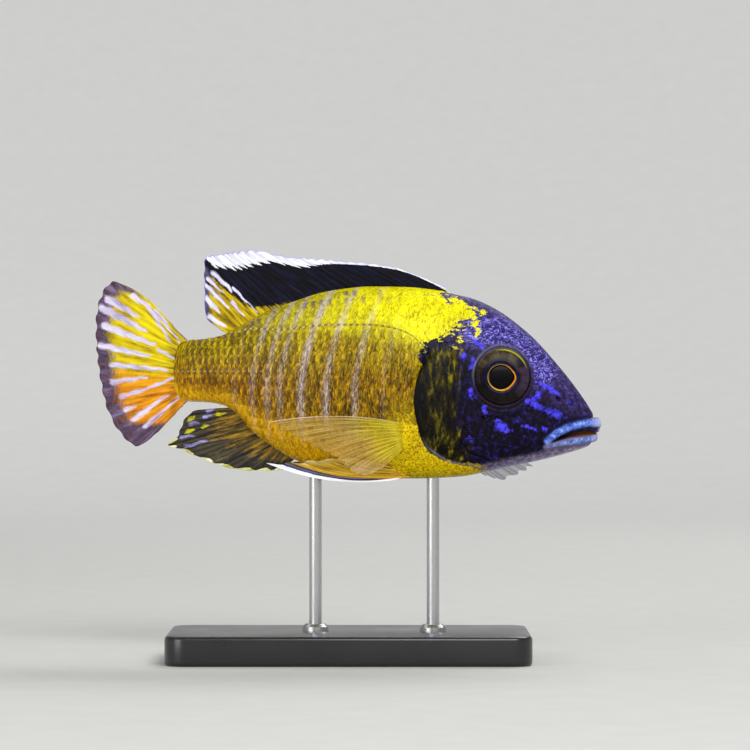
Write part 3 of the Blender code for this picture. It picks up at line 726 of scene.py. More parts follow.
def relief(points):
    """What is raised or sunk on the plain form, in millimetres."""
    u, n, z = points[..., 0], points[..., 1], points[..., 2]
    eye = eye_place(u, z)

    def ring(at, wide):
        return np.exp(-(((eye - at) / wide) ** 2))

    # The orbit is a socket with two soft folds round it, and a groove below.
    lift = -2.6 * smoothly(0.99, 0.93, eye) + 0.34 * ring(1.05, 0.055) + 0.3 * ring(1.2, 0.16)
    lift -= 0.25 * ring(1.14, 0.045) * smoothly(68, 62, z)
    for path, bulge, wide in ((UPPER_LIP, 0.55, 1.25), (LOWER_LIP, 0.4, 0.95)):
        lift += bulge * np.sqrt(np.clip(1 - (reach_to(u, z, path) / wide) ** 2, 0, 1))
    lift -= (1.7 - 0.9 * smoothly(56.5, 59.0, u)) * mouth_at(u, z)
    behind_cheek = [(line_u + 1.2, line_z) for line_u, line_z in CHEEK_LINE]
    for path, wide, deep in (
        (LIP_GROOVE, 0.36, 0.5), (JAW_GROOVE, 0.36, 0.3), (CHEEK_LINE, 0.34, 0.42),
        (LACHRYMAL, 0.5, 0.16), (behind_cheek, 0.8, -0.3),
    ):
        lift -= deep * np.exp(-((reach_to(u, z, path) / wide) ** 2))
    # The cover's bulge, and the fleshy lobe that the pectoral fin leaves.
    lift += 0.3 * np.exp(-(np.hypot((u - 20.5) / 5.5, (z - 60.0) / 10.0) ** 4))
    lobe = np.hypot((u - 13.4) / 1.6, (z - 53.3) / 3.7)
    lift += 0.75 * np.exp(-(lobe**4)) * smoothly(15.6, 14.6, u)
    for (at_u, at_z), radius, deep in NOSTRILS:
        r = np.hypot(u - at_u, z - at_z) / radius
        lift += 0.16 * np.exp(-(((r - 1.35) / 0.3) ** 2)) - deep * np.exp(-(r**4))
    for at_u, at_z in PORES:
        lift -= 0.2 * np.exp(-((np.hypot(u - at_u, z - at_z) / 0.42) ** 2))
    ridge = np.exp(-((n / 1.1) ** 2)) * (z > widest(u))
    return lift + 0.35 * ridge * smoothly(26, 22, u) * smoothly(-31, -28, u)


def give_bake_map(mesh, places):
    """Sets the map that baking uses, from a place for each corner of the faces or each point."""
    if len(places) == len(mesh.vertices):
        corner = np.empty(len(mesh.loops), np.int32)
        mesh.loops.foreach_get("vertex_index", corner)
        places = places[corner]
    mesh.uv_layers.new(name="OFBake").data.foreach_set("uv", places.astype(np.float32).ravel())


theta = np.arange(ROUND) * 2 * np.pi / ROUND
around = theta + 0.2 * np.sin(2 * theta)
edge = gill_edge_at(around)
fold = fold_at(around, edge)
rings = []
for i in range(1, NOSE_RINGS + 1):
    u = SNOUT[0] - NOSE_REACH * (i / NOSE_RINGS) ** 1.35
    rings.append((np.full(ROUND, u), np.full(ROUND, -FACE_DEPTH)))
last = SNOUT[0] - NOSE_REACH
for i in range(1, CHEEK_RINGS + 1):
    rings.append((last + (edge - last) * i / CHEEK_RINGS, np.full(ROUND, -FACE_DEPTH)))
for k, (ahead, level) in enumerate(FOLD, 1):
    plain_u, plain_level = -0.05 * k, -FACE_DEPTH - (SCALE_DEPTH - FACE_DEPTH) * k / len(FOLD)
    rings.append((edge + fold * ahead + (1 - fold) * plain_u, fold * level + (1 - fold) * plain_level))
start = edge - 0.4
tail_end = HALF_WIDTH[0][0]
for i in range(1, FLANK_RINGS + 1):
    u = start + (tail_end - start) * i / FLANK_RINGS
    behind = np.maximum(edge - u, 0)
    rings.append((u, -SCALE_DEPTH - 0.5 * fold * np.exp(-behind / 1.3)))
ring_u = np.array([r[0] for r in rings])
ring_level = np.array([r[1] for r in rings])
angles = np.broadcast_to(around, ring_u.shape)
plain = flank(ring_u, angles)
skin_points = plain + out_of(ring_u, angles) * (ring_level + relief(plain))[..., None]
count = len(rings)
tip = np.array([[SNOUT[0] - 0.1, 0.0, SNOUT[1]]])
tail_tip = skin_points[-1].mean(axis=0, keepdims=True) - (0.3, 0, 0)
all_points = np.concatenate([skin_points.reshape(-1, 3), tip, tail_tip])
faces, corners = [], []
for i in range(count - 1):
    for k in range(ROUND):
        after = (k + 1) % ROUND
        here, beyond = i * ROUND, (i + 1) * ROUND
        faces.append((here + k, here + after, beyond + after, beyond + k))
        corners += [(i, k), (i, k + 1), (i + 1, k + 1), (i + 1, k)]
rear = (count - 1) * ROUND
for k in range(ROUND):
    after = (k + 1) % ROUND
    faces.append((after, k, count * ROUND))
    corners += [(0, k + 1), (0, k), (-1, k + 0.5)]
    faces.append((rear + k, rear + after, count * ROUND + 1))
    corners += [(count - 1, k), (count - 1, k + 1), (count, k + 0.5)]

# Fish skin under its slime: colour in the depth, a wet gloss on top.
skin_look, add, shader = new_material(
    "fish_skin_wet", Roughness=0.5, IOR=1.34, Specular_IOR_Level=0.14,
    Coat_Weight=0.03, Coat_Roughness=0.22,
)
feed(shader, Base_Color=fish_colours(add))
lie = add("Attribute", out=1, attribute_name="lie")
fine = add("TexNoise", lie, None, 2.6, 5.0, 0.65)
feed(
    shader,
    Normal=add("Bump", 0.35, 0.00035, None, fine),
    Roughness=add("MapRange", fine, 0.3, 0.7, 0.42, 0.6),
)

skin = piece_from("skin", swing(all_points), faces, skin_look)
give_markings(skin.data, all_points)
corners = (np.array(corners, float) + (1, 0)) / (count + 1, ROUND)
give_bake_map(skin.data, BAKE_EDGE + BAKE_SPAN * corners[:, ::-1])
finish_piece(
    skin, "flank_skin",
    "head", "upper_lip", "lower_jaw", "gill_cover_right", "gill_cover_left", "trunk", "tail",
)

# Body: scales.
# Thin plates of bone under a film of skin, each rooted in a pocket with its rear edge free.
# They lie in rows along the flank like roof tiles, smaller on the nape, chest and face.

SCALE_TILT = 0.19
SCALE_THICK = 0.07
# Distances from scale to scale on the flank, first at its middle and then on the tail stalk.
COLUMN_STEP = (2.0, 1.62)
ROW_STEP = (2.95, 2.4)
ACROSS = (-1.0, -0.75, -0.4, 0.0, 0.4, 0.75, 1.0)
ALONG = (0.0, 0.42, 0.74, 0.95, 1.0)
LENGTH_TO_STEP, HALF_WIDTH_TO_STEP = 1.55, 0.68
LOWEST_ROW, HIGHEST_ROW = -16, 13
BAKE_PATCH = 0.003
FORM_RINGS, FORM_ROUND = 240, 180


def plain_scale():
    """One scale, its root at the origin and its free edge towards +X, as a closed plate."""
    tops, plate, rise = [], [], []
    for part in ALONG:
        for b in ACROSS:
            front, rear = 0.12 * b * b, 1 - 0.32 * b**2 - 0.16 * b**4
            x = front + (rear - front) * part
            tops.append((x, b * (0.8 + 0.2 * math.sin(math.pi * min(part, 0.9))), 0))
            plate.append((x, b, 0))
            rise.append(-0.05 + SCALE_TILT * x + 0.03 * (1 - b * b) - 0.025 * (part == 1.0))
    lows = [(x * 0.985, y * 0.985, 0) for x, y, _ in tops]
    wide, count = len(ACROSS), len(tops)
    quads = [
        (row + k, row + wide + k, row + wide + k + 1, row + k + 1)
        for row in range(0, count - wide, wide)
        for k in range(wide - 1)
    ]
    border = [*range(wide), *range(2 * wide - 1, count, wide)]
    border += [*range(count - 2, count - wide - 1, -1), *range(count - 2 * wide, 0, -wide)]
    rims = [(a, b, b + count, a + count) for a, b in zip(border, border[1:] + border[:1])]
    floor = [k + count for k in border[::-1]]
    made = piece_from("plain_scale", tops + lows, [*quads, *rims, floor], scale_look)
    give(made.data, "plate", plate + plate)
    give(made.data, "rise", rise + [r - SCALE_THICK for r in rise])
    return made


def scale_tree():
    """Sets a scale on each seed point and drapes it over a body form."""
    tree = bpy.data.node_groups.new("lay_scales", "GeometryNodeTree")
    add = nodes_of(tree)
    for name, kind in (
        ("Seeds", "Geometry"), ("One Scale", "Object"), ("Body Form", "Object"),
        ("Lift", "Float"), ("Look", "Material"),
    ):
        tree.interface.new_socket(name, in_out="INPUT", socket_type="NodeSocket" + kind)
    tree.interface.new_socket("Scales", in_out="OUTPUT", socket_type="NodeSocketGeometry")
    seeds, scale, form, lift, look = list(add("NodeGroupInput", out=None))[:5]

    def stored(name, kind="FLOAT_VECTOR"):
        return add("GeometryNodeInputNamedAttribute", name, data_type=kind)

    axes = {"primary_axis": "Z", "secondary_axis": "X"}
    turn = add("FunctionNodeAxesToRotation", stored("stand"), stored("run"), **axes)
    points = add("GeometryNodeMeshToPoints", seeds)
    shape = add("GeometryNodeObjectInfo", scale, out=4)
    laid = add("GeometryNodeInstanceOnPoints", points, None, shape, None, None, turn, stored("size"))
    real = add("GeometryNodeRealizeInstances", laid)
    body = add("GeometryNodeObjectInfo", form, out=4)
    here = add("GeometryNodeInputPosition")
    nearest, facing = (
        add("GeometryNodeSampleNearestSurface", body, value, None, here, data_type="FLOAT_VECTOR")
        for value in (here, add("GeometryNodeInputNormal"))
    )
    rise = add("Math MULTIPLY", stored("rise", "FLOAT"), lift)
    rise = add("Math MULTIPLY", rise, add("SeparateXYZ", stored("size"), out=2))
    outward = add("VectorMath SCALE", facing, None, None, rise)
    place_at = add("VectorMath ADD", nearest, outward)
    draped = add("GeometryNodeSetPosition", real, None, place_at)
    done = add("GeometryNodeSetMaterial", draped, None, look)
    add("NodeGroupOutput", done, out=None)
    return tree


def unswing(points):
    """Places in metres back to body points in millimetres."""
    x, y, z = (points / MM).T
    u = x
    for _ in range(12):
        behind = np.maximum(SWING_START - u, 0.0)
        slope = 2 * SWING_PULL * behind
        turn = np.sqrt(1 + slope**2)
        n = (y - SWING_PULL * behind**2) * turn
        u = x - n * slope / turn
    return np.stack([u, n, z], -1)


def angle_up(u, climb):
    """The angle on the left flank that lies this far round the body above the middle row."""
    sweep = np.linspace(0, np.pi, 241)
    ring = flank(u[:, None], sweep[None, :])
    steps = np.linalg.norm(np.diff(ring, axis=1), axis=-1)
    length = np.concatenate([np.zeros((len(u), 1)), np.cumsum(steps, axis=1)], axis=1)
    angles = np.empty(len(u))
    for i in range(len(u)):
        level = np.interp(-min(MIDDLE_ROW, back(u[i]) - 1), -ring[i, :, 2], length[i])
        angles[i] = np.interp(level - climb[i], length[i], sweep)
    return angles


def rows_of(first, last, step, row_step):
    """Scale roots on the left flank, row by row: distance u, angle, and three sizes of each."""
    stations = [first]
    while stations[-1] > last:
        stations.append(stations[-1] - step(stations[-1]))
    stations = np.array(stations)
    found = []
    for row in range(LOWEST_ROW, HIGHEST_ROW + 1):
        w = stations - 0.5 * step(stations) * (row % 2)
        rows = row_step(w)
        u = w
        for _ in range(6):
            angle = angle_up(u, row * rows)
            u = w + lean_at(flank(u, angle)[:, 2])
        angle = angle_up(u, row * rows)
        fits = (angle > 0.03) & (angle < np.pi - 0.03)
        size = np.stack([LENGTH_TO_STEP * step(w), HALF_WIDTH_TO_STEP * rows, np.ones(len(w))], -1)
        found.append(np.concatenate([u[:, None], angle[:, None], size], axis=1)[fits])
    return np.concatenate(found)


def seed(name, roots, side, chance):
    """A mesh of bare points with the way each scale stands and runs, its size and its tone."""
    u, angle = roots[:, 0], roots[:, 1] * side

    def on_skin(u, angle):
        return swing(flank(u, angle) - SCALE_DEPTH * out_of(u, angle))

    place_at = on_skin(u, angle)
    run = on_skin(u - 0.2, angle) - place_at
    stand = np.cross(on_skin(u, angle + 0.01) - place_at, run)
    run /= np.linalg.norm(run, axis=1, keepdims=True)
    stand /= np.linalg.norm(stand, axis=1, keepdims=True)
    mesh = bpy.data.meshes.new(name)
    mesh.from_pydata(place_at.tolist(), [], [])
    give(mesh, "stand", stand)
    give(mesh, "run", run)
    give(mesh, "size", roots[:, 2:5] * (MM, MM, 1.0))
    give(mesh, "root", flank(u, angle))
    give(mesh, "tone", chance.random(len(u)))
    return mesh


def grow(name, mesh, tree, sizes):
    """Runs the tree on the seed mesh and keeps the result as a plain mesh."""
    host = new_object(name + "_seeds", mesh)
    change = host.modifiers.new("grow", "NODES")
    change.node_group = tree
    for socket in tree.interface.items_tree:
        if socket.in_out == "INPUT" and socket.name in sizes:
            change[socket.identifier] = sizes[socket.name]
    graph = bpy.context.evaluated_depsgraph_get()
    result = bpy.data.meshes.new_from_object(host.evaluated_get(graph))
    bpy.data.objects.remove(host)
    return new_object(name, result)


def read(mesh, name, width):
    """The stored numbers, or vectors of three where width is 3, of all points."""
    values = np.empty(len(mesh.vertices) * width, np.float32)
    source = mesh.attributes[name].data
    source.foreach_get("vector" if width == 3 else "value", values)
    return values.reshape(-1, width).astype(float) if width == 3 else values.astype(float)


def mark_scales(piece):
    """Gives grown scales their markings, and each one a small patch of the bake map."""
    mesh = piece.data
    places = np.empty(len(mesh.vertices) * 3, np.float32)
    mesh.vertices.foreach_get("co", places)
    lie = unswing(places.reshape(-1, 3).astype(float))
    roots, tone, plate = read(mesh, "root", 3), read(mesh, "tone", 1), read(mesh, "plate", 3)
    give_markings(mesh, lie, roots)
    plate[:, 2] = tone
    for name in ("root", "tone", "rise", "size", "stand", "run", "plate"):
        mesh.attributes.remove(mesh.attributes[name])
    give(mesh, "plate", plate)
    turn = np.abs(angle_of(roots[:, 0], roots[:, 2])) / np.pi
    length = (SNOUT[0] - roots[:, 0]) / (SNOUT[0] - HALF_WIDTH[0][0])
    # On its patch, the underside of a scale lies a little inside the top.
    points = len(ACROSS) * len(ALONG)
    layer = np.tile(np.repeat([1.0, 0.9], points), len(mesh.vertices) // (2 * points))
    spread = np.stack([plate[:, 1] * 0.5, plate[:, 0] - 0.5], -1) * layer[:, None] * BAKE_PATCH
    give_bake_map(mesh, BAKE_EDGE + BAKE_SPAN * np.stack([turn, length], -1) + spread)
    mesh.shade_smooth()


# Scale under its film: the skin's colours, with a harder gloss.
scale_look, add, shader = new_material(
    "scale_bone_wet", Roughness=0.46, IOR=1.36, Specular_IOR_Level=0.16,
    Coat_Weight=0.03, Coat_Roughness=0.2,
)
feed(shader, Base_Color=fish_colours(add, plates=True))
plate = add("Attribute", out=1, attribute_name="plate")
rays = grain_of(add, plate, (2.0, 9.0, 40.0), 3.0, 0.6)
feed(
    shader,
    Normal=add("Bump", 0.3, 0.0002, None, rays),
    Roughness=add("MapRange", rays, 0.3, 0.7, 0.38, 0.56),
)

one_scale = plain_scale()
lay_scales = scale_tree()

# The scales of the flank and chest are draped over a form without the gill cover's fold.
form_u, form_turn = np.meshgrid(
    np.linspace(-42.5, 58.0, FORM_RINGS), np.linspace(0, 2 * np.pi, FORM_ROUND, endpoint=False), indexing="ij"
)
form = flank(form_u, form_turn) - SCALE_DEPTH * out_of(form_u, form_turn)
faces = []
for ring in range(0, (FORM_RINGS - 1) * FORM_ROUND, FORM_ROUND):
    for k in range(FORM_ROUND):
        after, beyond = ring + (k + 1) % FORM_ROUND, ring + FORM_ROUND
        faces.append((beyond + k, beyond + (k + 1) % FORM_ROUND, after, ring + k))
body_form = piece_from("smooth_form", swing(form.reshape(-1, 3)), faces, skin_look)


def lay(name, roots, form):
    """Lays one patch of scales on each side of the fish."""
    chance = np.random.default_rng(len(name))
    for side, sign in (("right", -1.0), ("left", 1.0)):
        mesh = seed(name, roots, sign, chance)
        sizes = {"One Scale": one_scale, "Body Form": form, "Lift": MM, "Look": scale_look}
        piece = grow(f"{name}_{side}", mesh, lay_scales, sizes)
        mark_scales(piece)
        finish_piece(piece, "flank_skin")


def roots_between(first, last, step, row_step):
    """Rows of roots, with their places in side view and the distance to the gill cover's edge."""
    rows = rows_of(first, last, step, row_step)
    u, _, z = flank(rows[:, 0], rows[:, 1]).T
    return rows, u, z, u - gill_edge(z)


rows, u, z, past_edge = roots_between(
    26.0, -43.0,
    lambda w: COLUMN_STEP[1] + (COLUMN_STEP[0] - COLUMN_STEP[1]) * smoothly(-34, 4, w),
    lambda w: ROW_STEP[1] + (ROW_STEP[0] - ROW_STEP[1]) * smoothly(-36, -4, w),
)
fin_root = np.hypot((u - 14.2) / 1.9, (z - 52.3) / 4.4) < 1
stalk = u > -37.6 - 1.3 * np.cos(np.clip((z - MIDDLE_ROW) / 7.4, -1, 1) * 1.57)
rows[:, 4] *= 1 - 0.45 * smoothly(-1.0, 2.0, z - lateral(u)) * smoothly(-6.0, 6.0, u)
rows[:, 2:5] *= smoothly(-44.0, -36.0, u)[:, None] * 0.25 + 0.75
on_chest = (z < 50.0) & (u > 8.0)
lay("scales_flank", rows[(past_edge < 0.6) & ~on_chest & ~fin_root & stalk], body_form)

rows, u, z, past_edge = roots_between(
    40.0, 12.0, lambda w: 1.1 + 0.35 * smoothly(32, 20, w), lambda w: np.full_like(w, 1.9)
)
on_nape = (past_edge > -0.2) & (z > 73.4) & (u < 35.5)
on_nape &= (eye_place(u, z) > 1.28) & (u + 0.9 * z < 106.5)
rows[:, 2:4] *= 0.72 + 0.28 * smoothly(35.0, 26.0, u)[:, None]
rows[:, 4] = 0.45
lay("scales_nape", rows[on_nape], skin)

rows, u, z, past_edge = roots_between(42.0, 6.0, lambda w: 0 * w + 1.25, lambda w: 0 * w + 1.75)
rows[:, 4] = 0.5
lay("scales_chest", rows[(z < 50.2) & (u > 7.4) & (past_edge < 0.3) & (u < 33.0)], body_form)

rows, u, z, past_edge = roots_between(38.0, 14.0, lambda w: 0 * w + 1.55, lambda w: 0 * w + 2.1)
on_cover = (inside(u, z, GILL_DARK) < -0.9) & (past_edge > 2.4) & (z > 50.5) & (z < 71.5)
on_cheek = (u > 27.6) & (u < 39.5) & (z > 50.5) & (z < 59.0) & (eye_place(u, z) > 1.3)
rows[:, 2:4] *= 0.92
rows[:, 4] = 0.3
lay("scales_cheek", rows[on_cover | on_cheek], skin)
for helper in (one_scale, body_form):
    bpy.data.objects.remove(helper)

# Eyes.
# Large eyes set flush in the head, each a clear dome over a dark iris. A thin gold ring
# runs round the pupil, which is drawn to a blunt point in front.

EYE_DOME = 1.5
EYE_SINK = 0.35
EYE_FORWARD, EYE_LIFT = math.radians(6), math.radians(8)
PUPIL_AT = (-0.55, -0.45)
PUPIL_RADIUS = 2.95
PUPIL_POINT = 0.38
EYE_BACK = [(0.985, -0.35), (0.9, -1.0), (0.6, -1.5), (0.002, -1.7)]
EYE_TURNS, EYE_RINGS = 128, 60

# Cornea and iris as one: nearly black, deep gloss, with olive and mauve in the iris.
eye_look, add, shader = new_material(
    "cornea_over_iris", Roughness=0.3, IOR=1.33, Specular_IOR_Level=0.08,
    Coat_Weight=0.045, Coat_Roughness=0.04,
)
gap, reach = three_of(add, "iris")[:2]
front, top = three_of(add, "facing")[:2]
facing = add("Attribute", out=1, attribute_name="facing")
spokes = grain_of(add, facing, (3.2, 3.2, 1.0), 4.0, 0.7)
shade = add("ValToRGB", spokes, stops="0.35 #0A0706  0.65 #1A140E")
olive = add("ValToRGB", spokes, stops="0.32 #1C160C  0.5 #352C1A  0.7 #504632")
mauve = add("ValToRGB", spokes, stops="0.32 #17111C  0.6 #382C3E")
iris = lay_over(add, top, -0.1, 0.75, shade, olive)
iris = lay_over(add, front, 0.55, 0.95, iris, mauve)
inner = add("ValToRGB", spokes, stops="0.35 #06050A  0.7 #151230")
iris = lay_over(add, gap, 1.2, 1.9, inner, iris)
gold = lay_over(add, front, -0.2, 0.6, "#DCA82C", "#DC841C")
lower_front = add("Math SUBTRACT", front, top)
gold_wide = add("MapRange", lower_front, -1.2, 1.2, 0.14, 0.38)
ring = add("MapRange", add("Math SUBTRACT", gap, gold_wide), 0.06, -0.08)
ring = add("Math MULTIPLY", ring, add("MapRange", spokes, 0.3, 0.6, 0.55, 1.0))
ring = add("Math MULTIPLY", ring, add("MapRange", lower_front, -1.2, 0.3, 0.45, 1.0))
iris = add("MixRGB", ring, iris, gold)
iris = lay_over(add, gap, 0.03, -0.05, iris, "#030204")
arc = add("Math MULTIPLY", add("MapRange", reach, 0.86, 0.89), add("MapRange", reach, 0.935, 0.905))
upper_front = add("Math ADD", add("Math MULTIPLY", front, 0.55), top)
arc = add("Math MULTIPLY", arc, add("MapRange", upper_front, 0.8, 1.08))
iris = add("MixRGB", arc, iris, "#A8A418")
# The eye's edge: lilac grey on top as painted highlight, near black below as painted shade.
edge_ring = add("MapRange", reach, 0.93, 0.97)
eye_edge_light_and_shade = lay_over(add, top, 0.1, 0.9, "#121016", "#4E4C60")
iris = add("MixRGB", edge_ring, iris, eye_edge_light_and_shade)
feed(shader, Base_Color=iris)

for side, sign in (("right", -1.0), ("left", 1.0)):
    out = np.array([
        math.sin(EYE_FORWARD), sign * math.cos(EYE_FORWARD) * math.cos(EYE_LIFT), math.sin(EYE_LIFT)
    ])
    out /= np.linalg.norm(out)
    forward = np.array([1.0, 0, 0]) - out * out[0]
    forward /= np.linalg.norm(forward)
    upward = np.cross(forward, out) * sign
    r, a = np.meshgrid(
        np.arange(EYE_RINGS + 1) / EYE_RINGS, np.arange(EYE_TURNS) * 2 * np.pi / EYE_TURNS, indexing="ij"
    )
    r[0] = 0.002
    x, y = EYE_RADII[0] * r * np.cos(a), EYE_RADII[1] * r * np.sin(a)
    bearing = np.arctan2(y - PUPIL_AT[1], x - PUPIL_AT[0])
    pupil = PUPIL_RADIUS + PUPIL_POINT * np.exp(-((bearing / 0.42) ** 2))
    gap = np.hypot(x - PUPIL_AT[0], y - PUPIL_AT[1]) - pupil
    height = EYE_DOME * np.sqrt(np.clip(1 - r**2, 0, 1))
    height += 0.14 * smoothly(0.05, -0.5, gap) - 0.12 * np.exp(-(((gap - 0.45) / 0.3) ** 2))
    height -= 0.12 * np.exp(-(((r - 0.9) / 0.03) ** 2))
    for share, depth in EYE_BACK:
        x = np.concatenate([x, EYE_RADII[0] * share * np.cos(a[:1])])
        y = np.concatenate([y, EYE_RADII[1] * share * np.sin(a[:1])])
        height = np.concatenate([height, np.full((1, EYE_TURNS), depth)])
    centre = flank(EYE_AT[0], angle_of(EYE_AT[0], EYE_AT[1], sign)) - out * EYE_SINK
    points = centre + x[..., None] * forward + y[..., None] * upward + height[..., None] * out
    faces = []
    for ring in range(0, (len(x) - 1) * EYE_TURNS, EYE_TURNS):
        for k in range(EYE_TURNS):
            after, beyond = ring + (k + 1) % EYE_TURNS, ring + EYE_TURNS
            quad = [ring + k, beyond + k, beyond + (k + 1) % EYE_TURNS, after]
            faces.append(quad if sign < 0 else quad[::-1])
    eye = piece_from("eyeball_" + side, points.reshape(-1, 3) * MM, faces, eye_look)
    rows = np.concatenate([r[:, 0], np.ones(len(EYE_BACK))])[:, None] + 0 * x
    gap = np.concatenate([gap, np.full((len(EYE_BACK), EYE_TURNS), 3.6)])
    turns = np.broadcast_to(a[:1], x.shape)
    give(eye.data, "iris", np.stack([gap, rows, 0 * rows], -1).reshape(-1, 3))
    give(eye.data, "facing", np.stack([np.cos(turns), np.sin(turns), 0.4 * rows], -1).reshape(-1, 3))
    out_to = np.concatenate([r[:, 0] * 0.9, 0.9 + 0.025 * np.arange(1, len(EYE_BACK) + 1)])[:, None]
    disc = np.stack([out_to * np.cos(turns), out_to * np.sin(turns)], -1) * 0.48 + 0.5
    give_bake_map(eye.data, disc.reshape(-1, 2))
    finish_piece(eye, "eye", "eye_" + side)

# Fins: dorsal.
# A black sail of sixteen spines and ten soft rays, thin skin stretched between them and
# rooted in the back. Its edge is white and ragged, its soft rear yellow with pale streaks.

FIN_BASE, FIN_FILM, FIN_RAY = 0.5, 0.13, 0.2
FIN_SUNK = 0.9
FIN_BAKE_EDGE, FIN_BAKE_SPAN, FIN_BAKE_RIM = (0.02, 0.02), (0.455, 0.96), 0.008
FIN_BAKE_ASIDE = 0.505
# Some of the rays from front to rear: u of the root, u and z of the tip.
DORSAL_RAYS = [
    (24.2, 23.4, 88.8), (21.0, 9.3, 93.9), (9.5, -4.5, 95.4), (-1.7, -15.2, 96.3),
    (-7.1, -23.6, 98.0), (-16.2, -30.7, 97.0), (-20.7, -34.5, 96.4), (-23.6, -34.9, 91.7),
    (-26.0, -34.9, 87.6), (-27.4, -34.5, 82.0), (-28.4, -30.6, 78.6),
]
DORSAL_COUNT = (16, 10)
DORSAL_STREAKS = [
    ((-34.8, 89.8), (-28.8, 84.0), 0.49), ((-34.5, 86.4), (-31.0, 82.9), 0.49),
    ((-33.8, 82.1), (-30.0, 79.5), 0.45), ((-32.6, 92.4), (-28.1, 88.1), 0.49),
    ((-34.0, 91.2), (-30.2, 87.6), 0.37), ((-27.9, 89.0), (-21.9, 82.9), 0.23),
    ((-28.1, 85.5), (-25.2, 81.9), 0.33), ((-31.5, 80.6), (-29.3, 79.3), 0.29),
]
DORSAL_YELLOW = [
    (-36.0, 93.0), (-33.0, 91.4), (-29.5, 88.1), (-23.6, 83.9), (-18.4, 84.4), (-12.0, 86.0),
    (-6.0, 87.4), (10.0, 87.0), (10.0, 70.0), (-36.0, 70.0),
]


def ray_grid(count, lines, steps):
    """Over a fin, with so many lines from ray to ray: the number of the ray, and the share out."""
    along = np.linspace(0, count - 1, lines * (count - 1) + 1)
    return np.meshgrid(along, np.linspace(0, 1, steps), indexing="ij")


def drawn_out(root, tip, share):
    """The places u and z this share of the way from root to tip, and the length of the way."""
    (root_u, root_z), (tip_u, tip_z) = root, tip
    length = np.hypot(tip_u - root_u, tip_z - root_z)
    return root_u + (tip_u - root_u) * share, root_z + (tip_z - root_z) * share, length


def notched(ray, depth):
    """How far out the edge reaches: all the way at a ray, less by this share between two."""
    return 1 - depth * np.sin(np.pi * (ray - np.floor(ray))) ** 2


def wavering(u, z, strokes):
    """Drawn strokes that taper from the outer end to the inner, with uneven sides, 0 to 1."""
    bent_u = u + 0.12 * np.sin(2.1 * z + 0.9 * u)
    bent_z = z + 0.14 * np.sin(1.7 * u - 0.8 * z)
    drawn = np.zeros_like(u)
    for (au, az), (bu, bz), radius in strokes:
        du, dz = bu - au, bz - az
        run = np.clip(((bent_u - au) * du + (bent_z - az) * dz) / (du**2 + dz**2), 0, 1)
        away = np.hypot(bent_u - au - run * du, bent_z - az - run * dz)
        drawn = np.maximum(drawn, 1.5 - away / (radius * (1.15 - 0.7 * run**1.5)))
    return np.clip(drawn, 0, 1)


def rows_at(keys, at):
    """The rows of a table read at places between its first row and its last."""
    columns = np.array(keys, float).T
    return [curve_of(list(zip(range(len(column)), column)))(at) for column in columns]


def place_of(keys, values):
    """The places between the rows where the first column, which falls, has these values."""
    fine = np.linspace(0, len(keys) - 1, 600)
    return np.interp(-values, -rows_at(keys, fine)[0], fine)


def ridge_of(ray, part, split):
    """How near each point lies to a ray; soft rays fork from the place split outwards."""
    fork = 0.17 * smoothly(split, split + 0.35, part)
    away = np.abs(ray - np.round(ray))
    return np.exp(-(((away - fork) / 0.085) ** 2)) * (1 - 0.35 * part)


def fin_plate(name, points, look, ray, part, length, ridge, paint, trim, thin=1.0):
    """A fin as a closed plate round its middle surface, swung with the body.

    Paint holds where the second, pale and border colours lie, trim where the third colour and
    the line lie and how dense the film is.
    """
    rays, steps = ray.shape
    total = rays * steps
    middle = swing(np.stack(points, -1)) / MM
    stand = np.cross(np.gradient(middle, axis=0), np.gradient(middle, axis=1))
    stand /= np.maximum(np.linalg.norm(stand, axis=-1, keepdims=True), 1e-9)
    # A fleshy root, then thin skin with the rays standing out of it.
    film = (FIN_FILM + FIN_RAY * ridge * (1 - 0.5 * part)) * thin
    stand *= np.maximum(FIN_BASE * np.exp(-((part / 0.07) ** 2)), film)[..., None]
    at = np.arange(total).reshape(rays, steps)
    front = np.stack([at[:-1, :-1], at[1:, :-1], at[1:, 1:], at[:-1, 1:]], -1).reshape(-1, 4)
    border = np.concatenate([at[:, 0], at[-1, 1:], at[-2::-1, -1], at[0, -2:0:-1]])
    after = np.roll(border, -1)
    rim = np.stack([after, border, border + total, after + total], -1)
    faces = np.concatenate([front, front[:, ::-1] + total, rim])
    both = np.concatenate([middle + stand, middle - stand]).reshape(-1, 3) * MM
    piece = piece_from(name, both, faces.tolist(), look)
    fields = {"span": (ray, part * length, 0.0), "ridge": (ridge,), "paint": paint, "trim": trim}
    for key, values in fields.items():
        values = np.stack([np.broadcast_to(value, ray.shape).ravel() for value in values], -1)
        give(piece.data, key, np.concatenate([values, values]).squeeze())
    # The bake map has the two sides next to each other, with a narrow border for the rim.
    i, j = np.divmod(np.arange(total), steps)
    first = FIN_BAKE_EDGE + FIN_BAKE_SPAN * np.stack([i / (rays - 1), j / (steps - 1)], -1)
    push = np.stack([(i == rays - 1) * 1.0 - (i == 0), (j == steps - 1) * 1.0 - (j == 0)], -1)
    outer = first + FIN_BAKE_RIM * push
    give_bake_map(piece.data, np.concatenate([
        first[front],
        (first + (FIN_BAKE_ASIDE, 0))[front[:, ::-1]],
        np.stack([first[after], first[border], outer[border], outer[after]], 1),
    ]).reshape(-1, 2))
    return piece


